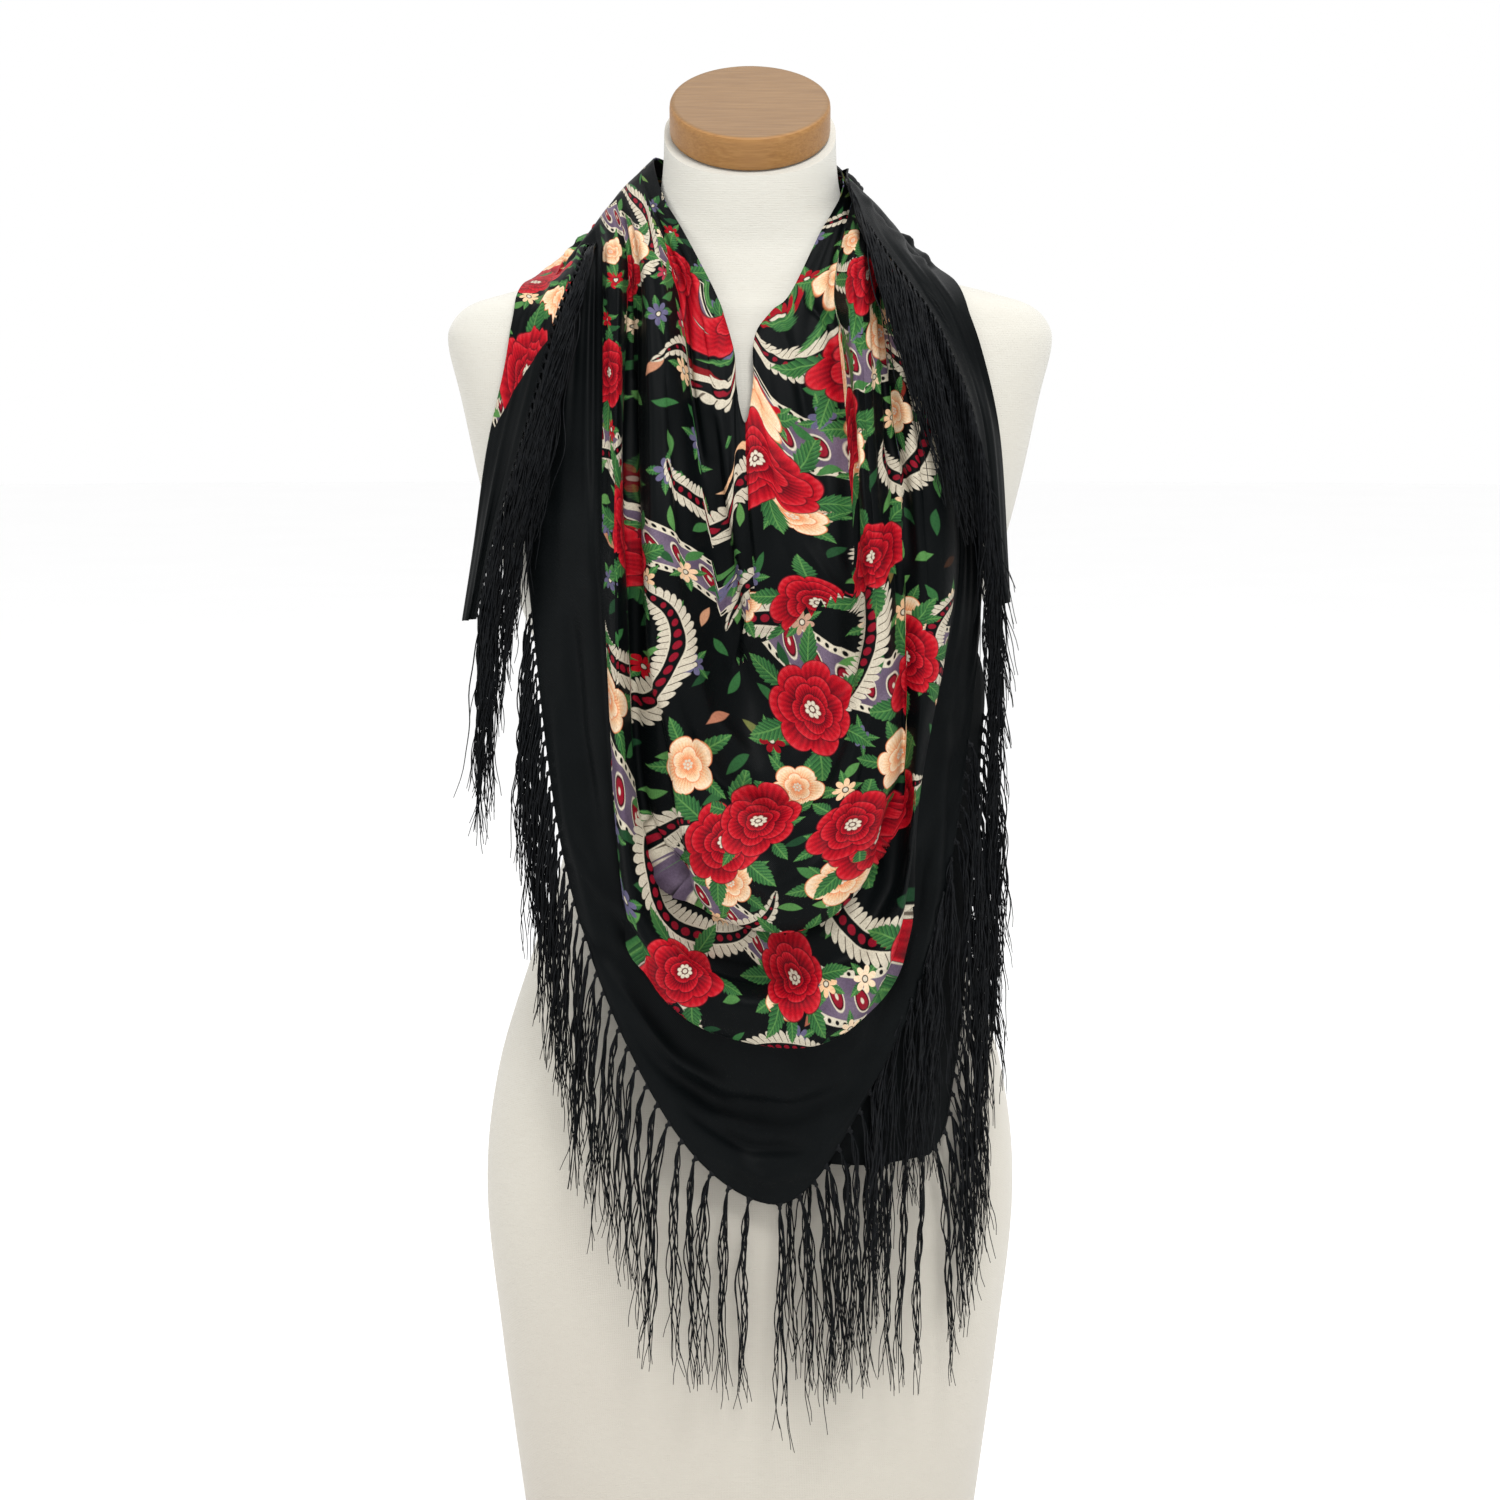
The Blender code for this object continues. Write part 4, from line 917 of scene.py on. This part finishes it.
endShape = {
    "left": [  # hem x, height, depth; outer x, height, depth
        (6, 902, 76, 2, 848, 100), (-18, 902, 78, -30, 846, 102), (-60, 893, 62, -84, 842, 90),
        (-90, 872, 30, -116, 838, 62), (-99, 864, 6, -130, 843, 20), (-112, 838, -24, -143, 824, -4),
        (-124, 812, -48, -153, 806, -22), (-134, 778, -66, -158, 776, -36), (-150, 722, -74, -171, 722, -48),
        (-167, 664, -74, -179, 662, -54), (-178, 612, -68, -187, 611, -60)],
    "right": [
        (-50, 902, 78, -66, 848, 104), (-30, 908, 86, -40, 842, 111), (14, 910, 86, 18, 842, 112),
        (47, 912, 60, 78, 846, 96), (58, 905, 22, 106, 846, 62), (64, 893, -16, 112, 848, 26),
        (76, 869, -52, 117, 840, 6), (98, 838, -70, 132, 826, -10), (115, 816, -82, 143, 806, -26),
        (128, 792, -92, 150, 786, -42), (143, 754, -98, 159, 752, -60), (150, 720, -97, 164, 716, -66),
        (156, 660, -92, 167, 658, -68), (162, 622, -88, 169, 623, -76)],
    "fold": 4.0, "roughAcross": 9, "roughDown": 48, "across": 34, "down": 230, "wall": 0.8,
    "formGap": 4.6, "clothGap": 4.2, "layerGap": 2.2, "leftPrintEnds": 0.65, "printFrom": (0.03, 0.26),
    "fringeTop": (0.42, 0.36),
}


def endRough(table, field):
    # rows from the hem to the outer side, along from the nape to the tip, with one soft fold across
    rows = spline(table, np.linspace(0, len(table) - 1, endShape["roughDown"]))
    share = np.linspace(0, 1, endShape["roughAcross"])[None, :, None]
    x, z, y = np.moveaxis(rows[:, None, :3] + (rows[:, None, 3:] - rows[:, None, :3]) * share, 2, 0)
    fold = endShape["fold"] * np.sin(math.pi * share[..., 0]) ** 2 * np.sin(2 * math.pi * share[..., 0] + 0.6)
    x, z = sight(x, z, -y)
    lowest, ahead = -(readField(field, x, z) + endShape["layerGap"]), np.clip(-y / 20, 0, 1)
    y = np.minimum(y + fold, lowest * ahead + (1 - ahead) * (y + fold))
    return np.stack([x, y, z], 2)


def evened(grid):
    # each point becomes a quarter of its neighbours along the grid and half of itself
    smooth = grid.copy()
    smooth[1:-1] = 0.25 * grid[:-2] + 0.5 * grid[1:-1] + 0.25 * grid[2:]
    return smooth


def endFine(rough, seed):
    # refined along both directions, with narrow uneven folds that run its length
    fine = spline(rough, np.linspace(0, len(rough) - 1, endShape["down"]))
    fine = spline(fine.transpose(1, 0, 2), np.linspace(0, rough.shape[1] - 1, endShape["across"])).transpose(1, 0, 2)
    share, run = np.linspace(0, 1, endShape["across"])[None, :], np.linspace(0, 1, endShape["down"])[:, None]
    pleat = np.sin(share * 17 + seed + 2.5 * np.sin(run * 5 + seed)) + 0.6 * np.sin(share * 31 + seed * 2 + run * 9)
    normal = unit(np.cross(np.gradient(fine, axis=1), np.gradient(fine, axis=0)))
    outward = np.sign(np.sum(normal * fine * np.array([1, 1, 0.3]), axis=2, keepdims=True))
    return fine + normal * outward * (0.5 + 0.5 * pleat * np.sin(math.pi * share) ** 0.5)[..., None]


onFront = raiseField(onUnder, np.concatenate([frontGrid, frontGrid[:, :1]], 1))
endGrids, endPieces = {}, {}
targets = [(formTorso, endShape["formGap"]), (scarfFront, endShape["clothGap"])]
for sideName, flip, seed in (("left", False, 1.0), ("right", True, 2.6)):
    grid = endRough(endShape[sideName], onFront)
    for _ in range(3):
        grid = evened(clearOf(grid, targets, flip=flip))
    grid = endFine(clearOf(grid, targets, flip=flip), seed)
    faces = gridFaces(*grid.shape[:2], flip=flip)
    run = np.linspace(0, 1, endShape["down"])[:, None] * np.ones(endShape["across"])
    lengths = np.cumsum(np.linalg.norm(np.diff(grid, axis=0, prepend=grid[:1]), axis=2), axis=0)
    widths = np.cumsum(np.linalg.norm(np.diff(grid, axis=1, prepend=grid[:, :1]), axis=2), axis=1)
    flat = np.stack([widths, lengths], 2) / 1000 + np.array(endShape["printFrom"])
    corner = np.stack([flat[:-1, :-1], flat[:-1, 1:], flat[1:, 1:], flat[1:, :-1]], 2)
    corner = corner[:, :, ::-1] if flip else corner
    share = np.linspace(0, 1, endShape["across"])[None, :]
    border = (run - endShape["leftPrintEnds"] - 0.14 * share) * 0.6 if sideName == "left" else run * 0 + 1
    material = materials["printed" if sideName == "left" else "plain"]
    piece = makePiece("scarf" + sideName.capitalize() + "End", grid, faces, material, corner.reshape(-1, 2),
                      {"border": border})
    giveWall(piece, endShape["wall"])
    endGrids[sideName], endPieces[sideName] = grid, piece
    targets.append((piece, endShape["clothGap"]))
scarfLeftEnd, scarfRightEnd = endPieces["left"], endPieces["right"]
print("ends made")

# fringes

fringeShape = {
    "strands": 8, "thick": 0.54, "long": 152.0, "knotAt": 1.8, "knotSize": 1.25, "endKnots": 0.6, "parts": 26,
    "groups": 3, "strayShare": 0.035, "stray": 16.0, "endReach": 0.35,
    "reach": 8.5, "drift": 6.0, "twist": 1.35, "flare": 3.4, "rootWide": 2.4,
    "pitch": {"fringeUnderSide": (8.0, 12.5), "fringeUnderHem": (14.0, 13.0), "fringeFrontRight": (10.0, 14.5),
              "fringeFrontLeft": (7.0, 15.0), "fringeLeftEnd": (6.5, 6.5), "fringeRightEnd": (6.0, 6.5)},
}
chanceOf = np.random.default_rng(41)


def hemLine(edge, inner, pitch):
    # places along a hem, their pitch changing evenly from the first to the last, with the direction along it
    # and the one out of the cloth
    run = np.concatenate([[0], np.cumsum(np.linalg.norm(np.diff(edge, axis=0), axis=1))])
    along = unit(np.gradient(edge, axis=0))
    out = edge - inner
    out = unit(out - np.sum(out * along, 1, keepdims=True) * along)
    steps = np.linspace(*pitch, max(2, int(round(2 * run[-1] / sum(pitch)))))
    places = (np.cumsum(steps) - steps / 2) * run[-1] / steps.sum()
    return [np.stack([np.interp(places, run, v[:, k]) for k in range(3)], 1) for v in (edge, along, out)]


def strandTubes(paths, thick):
    # three-sided tubes carried along paths, thinner to their tips, closed at both ends
    count, parts = paths.shape[:2]
    way = unit(np.gradient(paths, axis=1))
    side = unit(np.cross(way, np.array([0.25, 1.0, 0.15])))
    lift = np.cross(way, side)
    slim = (thick * (1 - 0.55 * np.linspace(0, 1, parts) ** 3))[None, :, None, None]
    angle = np.arange(3) * 2 * math.pi / 3
    ring = side[:, :, None] * np.cos(angle)[None, None, :, None] + lift[:, :, None] * np.sin(angle)[None, None, :, None]
    vertices = (paths[:, :, None] + ring * slim).reshape(-1, 3)
    start = (np.arange(count) * parts * 3)[:, None, None]
    i, j = np.arange(parts - 1)[None, :, None] * 3, np.arange(3)[None, None, :]
    k = (j + 1) % 3
    quads = np.stack([start + i + j, start + i + k, start + i + 3 + k, start + i + 3 + j], -1).reshape(-1, 4)
    first = start[:, 0, :] + np.array([[2, 1, 0]])
    final = start[:, 0, :] + (parts - 1) * 3 + np.array([[0, 1, 2]])
    return vertices, quads.tolist() + first.tolist() + final.tolist()


def knotBalls(middles, size):
    # flattened balls of two coils, six round and five down, closed at their poles
    turn, drop = np.arange(6) * math.pi / 3, np.linspace(-1.15, 1.15, 5)
    ball = np.stack([np.outer(np.cos(drop), np.cos(turn)), np.outer(np.cos(drop), np.sin(turn)),
                     1.35 * np.sin(drop)[:, None] * np.ones(6)], 2).reshape(-1, 3) * size
    count = len(middles)
    vertices = (middles[:, None] + ball[None]).reshape(-1, 3)
    faces = gridFaces(5, 6, closed=True)
    start = (np.arange(count) * 30)[:, None, None]
    quads = (faces[None] + start).reshape(-1, 4).tolist()
    caps = np.concatenate([np.arange(6)[::-1][None] + start[:, 0], np.arange(24, 30)[None] + start[:, 0]])
    return vertices, quads + caps.tolist()


def makeFringe(name, edge, inner, field, node, lean=(0.0, 0.0), reachShare=1.0, knotShare=1.0):
    # bunches of strands from small knots at the hem: each arches out of the hem, parts into three twisted groups
    # that drift, wave and end apart, and hangs free or on whatever lies below
    shape = fringeShape
    places, along, out = hemLine(edge, inner, shape["pitch"][name])
    bunches, strands, groups = len(places), shape["strands"], shape["groups"]
    down = np.array([0, 0, -1.0])
    knots = places + out * shape["knotAt"] + down * 0.8
    which = np.repeat(np.arange(bunches), strands)
    group = which * groups + np.tile(np.arange(strands) % groups, bunches)
    count, total = len(which), bunches * groups

    def each(low, high, wide=1):  # one chance for each strand
        return chanceOf.uniform(low, high, (count, wide))

    def byGroup(low, high):
        return chanceOf.uniform(low, high, (total, 1))[group]

    def byBunch(low, high):
        return chanceOf.uniform(low, high, (bunches, 1))[which]

    fan = np.tile(np.linspace(-1, 1, strands), bunches)[:, None]
    root = places[which] + along[which] * fan * shape["rootWide"] - out[which] * 1.0
    t = np.linspace(0, 1, shape["parts"])[None, :] ** 1.15
    stray = (each(0, 1) > 1 - shape["strayShare"]) * each(-1, 1) * shape["stray"]
    long = shape["long"] * byGroup(0.83, 1.05) * each(0.94, 1.0)
    drift = (byGroup(-1, 1) * shape["drift"] + byBunch(-1, 1) * 3.0
             + np.linspace(*lean, bunches)[which][:, None] + stray)
    wave = byGroup(0.5, 1.7) * np.sin(t * byGroup(5, 12) + byGroup(0, 6))
    crinkle = each(0.15, 0.5) * np.sin(t * each(22, 40) + each(0, 6))
    turn = each(0, 6.28) + t * byGroup(9, 22)
    loose = shape["twist"] * np.clip(t * 12, 0, 1) * each(0.6, 1.3)
    flare = each(-1, 1) * shape["flare"] * np.clip((t - 0.72) / 0.28, 0, 1) ** 1.5
    reach = reachShare * shape["reach"] * byBunch(0.7, 1.2) * each(0.6, 1.35) * (1 - np.exp(-7 * t))
    x = (knots[which, :1] + out[which, :1] * reach + drift * t ** 0.95 + (wave + crinkle) * np.clip(t * 3, 0, 1)
         + loose * np.cos(turn) + flare)
    z = knots[which, 2:] - long * t + (out[which, 2:] + 1) * reach * 0.5 * np.exp(-5 * t)
    rest = readField(field, x, z) + 1.2
    rest = np.maximum.accumulate(rest, axis=1) * 0.6 + rest * 0.4
    free = -knots[which, 1:2] * (1 - 0.03 * t) - 2.0 * t
    layer = byGroup(0.2, 3.0) * np.clip(t * 5, 0.1, 1) + loose * (1 + np.sin(turn))
    hangingPart = np.stack([x, -(np.maximum(free, rest) + layer), z], 2)
    onKnot = knots[which] + each(-0.4, 0.4, 3)
    paths = np.concatenate([root[:, None], onKnot[:, None], hangingPart], 1)
    paths[:, 2] = onKnot * 0.7 + paths[:, 3] * 0.3
    vertices, faces = strandTubes(paths, shape["thick"])
    ballPoints, ballFaces = knotBalls(knots, shape["knotSize"] * knotShare)
    faces += [[c + len(vertices) for c in f] for f in ballFaces]
    piece = makePiece(name, np.concatenate([vertices, ballPoints]), faces, materials["fringe"])
    return standFor(piece, node), hangingPart


tip, first, last = (int(np.argmin(np.abs(frontStations - s))) for s in (8, 5, 11))
topRow = int(underShape["fringeTop"] * underShape["down"])
fringeUnderSide, hungSide = makeFringe("fringeUnderSide", underGrid[topRow:, -1], underGrid[topRow:, -2], hang,
                                       "fringe_under_side", (6.0, 3.0))
fringeUnderHem, hungHem = makeFringe("fringeUnderHem", underGrid[-1, ::-1], underGrid[-2, ::-1], hang,
                                     "fringe_under_hem")
onHip = raiseField(np.maximum(hang, onUnder), np.concatenate([hungSide, hungHem]), 1)
hem, inner = frontGrid[-1], frontGrid[-2]
fringeFrontRight, hungRight = makeFringe("fringeFrontRight", hem[tip:last][::-1], inner[tip:last][::-1], onHip,
                                         "fringe_front_right")
fringeFrontLeft, hungLeft = makeFringe("fringeFrontLeft", hem[first:tip], inner[first:tip], hang, "fringe_front_left")
onAll = raiseField(onFront, np.concatenate([hungRight, hungLeft]), 1)
leftTop, rightTop = int(endShape["fringeTop"][0] * endShape["down"]), int(endShape["fringeTop"][1] * endShape["down"])
left, right, close = endGrids["left"], endGrids["right"], (fringeShape["endReach"], fringeShape["endKnots"])
fringeLeftEnd, _ = makeFringe("fringeLeftEnd", left[leftTop:, 0], left[leftTop:, 1], onAll, "fringe_left_end",
                              (-36.0, 0.0), *close)
fringeRightEnd, _ = makeFringe("fringeRightEnd", right[rightTop:, 0], right[rightTop:, 1], onAll, "fringe_right_end",
                               (54.0, 0.0), *close)
print("fringes made")

# what each piece is

def layerArea(grid, closed):
    # sum of the cells' areas, from the cross products of their sides
    ring = np.concatenate([grid, grid[:, :1]], 1) if closed else grid
    a, b = np.diff(ring, axis=0)[:, :-1], np.diff(ring, axis=1)[:-1]
    return float(np.linalg.norm(np.cross(a, b), axis=2).sum() / 1e6)


for piece, node, grid, closed in (
        (scarfFront, "scarf_front", frontGrid, True), (scarfUnder, "scarf_under_layer", underGrid, False),
        (scarfLeftEnd, "scarf_left_end", left, False), (scarfRightEnd, "scarf_right_end", right, False)):
    print(piece.name, "cloth area", round(layerArea(grid, closed), 4), "m2")
    standFor(piece, node)

# floor, light and camera

studio = {"floorRadius": 14000.0, "floorDrop": 0.5, "world": (1.0, 1.0, 1.0), "worldStrength": 1.0}
circle = np.arange(96) * 2 * math.pi / 96
rim = np.stack([np.cos(circle), np.sin(circle)], 1) * studio["floorRadius"]
floor = makePiece("floor", np.column_stack([rim, 0 * circle - studio["floorDrop"]]), [list(range(96))],
                  materials["floor"])

world = bpy.data.worlds.new("studio")
bpy.context.scene.world = world
world.use_nodes = True
world.node_tree.nodes["Background"].inputs["Color"].default_value = (*studio["world"], 1)
world.node_tree.nodes["Background"].inputs["Strength"].default_value = studio["worldStrength"]

lamps = {  # place, aimed at, size, power
    "key": ((0.6, -1.9, 3.4), (0.0, 0.0, 0.6), 0.9, 92.0),
    "fill": ((-2.6, -1.0, 1.4), (0.0, 0.0, 0.6), 1.8, 12.0),
    "top": ((0.2, 0.6, 3.0), (0.0, 0.0, 0.7), 1.6, 16.0),
}
for name, (place, aim, size, power) in lamps.items():
    lamp = bpy.data.lights.new(name, "AREA")
    lamp.size, lamp.energy = size, power
    holder = bpy.data.objects.new(name, lamp)
    bpy.context.scene.collection.objects.link(holder)
    holder.location = place
    track = np.array(aim) - np.array(place)
    holder.rotation_euler = (math.acos(-track[2] / np.linalg.norm(track)), 0,
                             math.atan2(track[1], track[0]) - math.pi / 2)

camera = bpy.data.objects.new("camera", bpy.data.cameras.new("camera"))
bpy.context.scene.collection.objects.link(camera)
far, tilt = viewpoint["distance"] / 1000, viewpoint["tilt"]
camera.location = (0, -far * math.cos(tilt), viewpoint["height"] / 1000 + far * math.sin(tilt))
camera.rotation_euler = (math.pi / 2 - tilt, 0, 0)
camera.data.lens, camera.data.sensor_width, camera.data.clip_end = viewpoint["lens"], 36, 60
bpy.context.scene.camera = camera
bpy.context.scene.view_settings.view_transform = "Standard"

print("studio set")
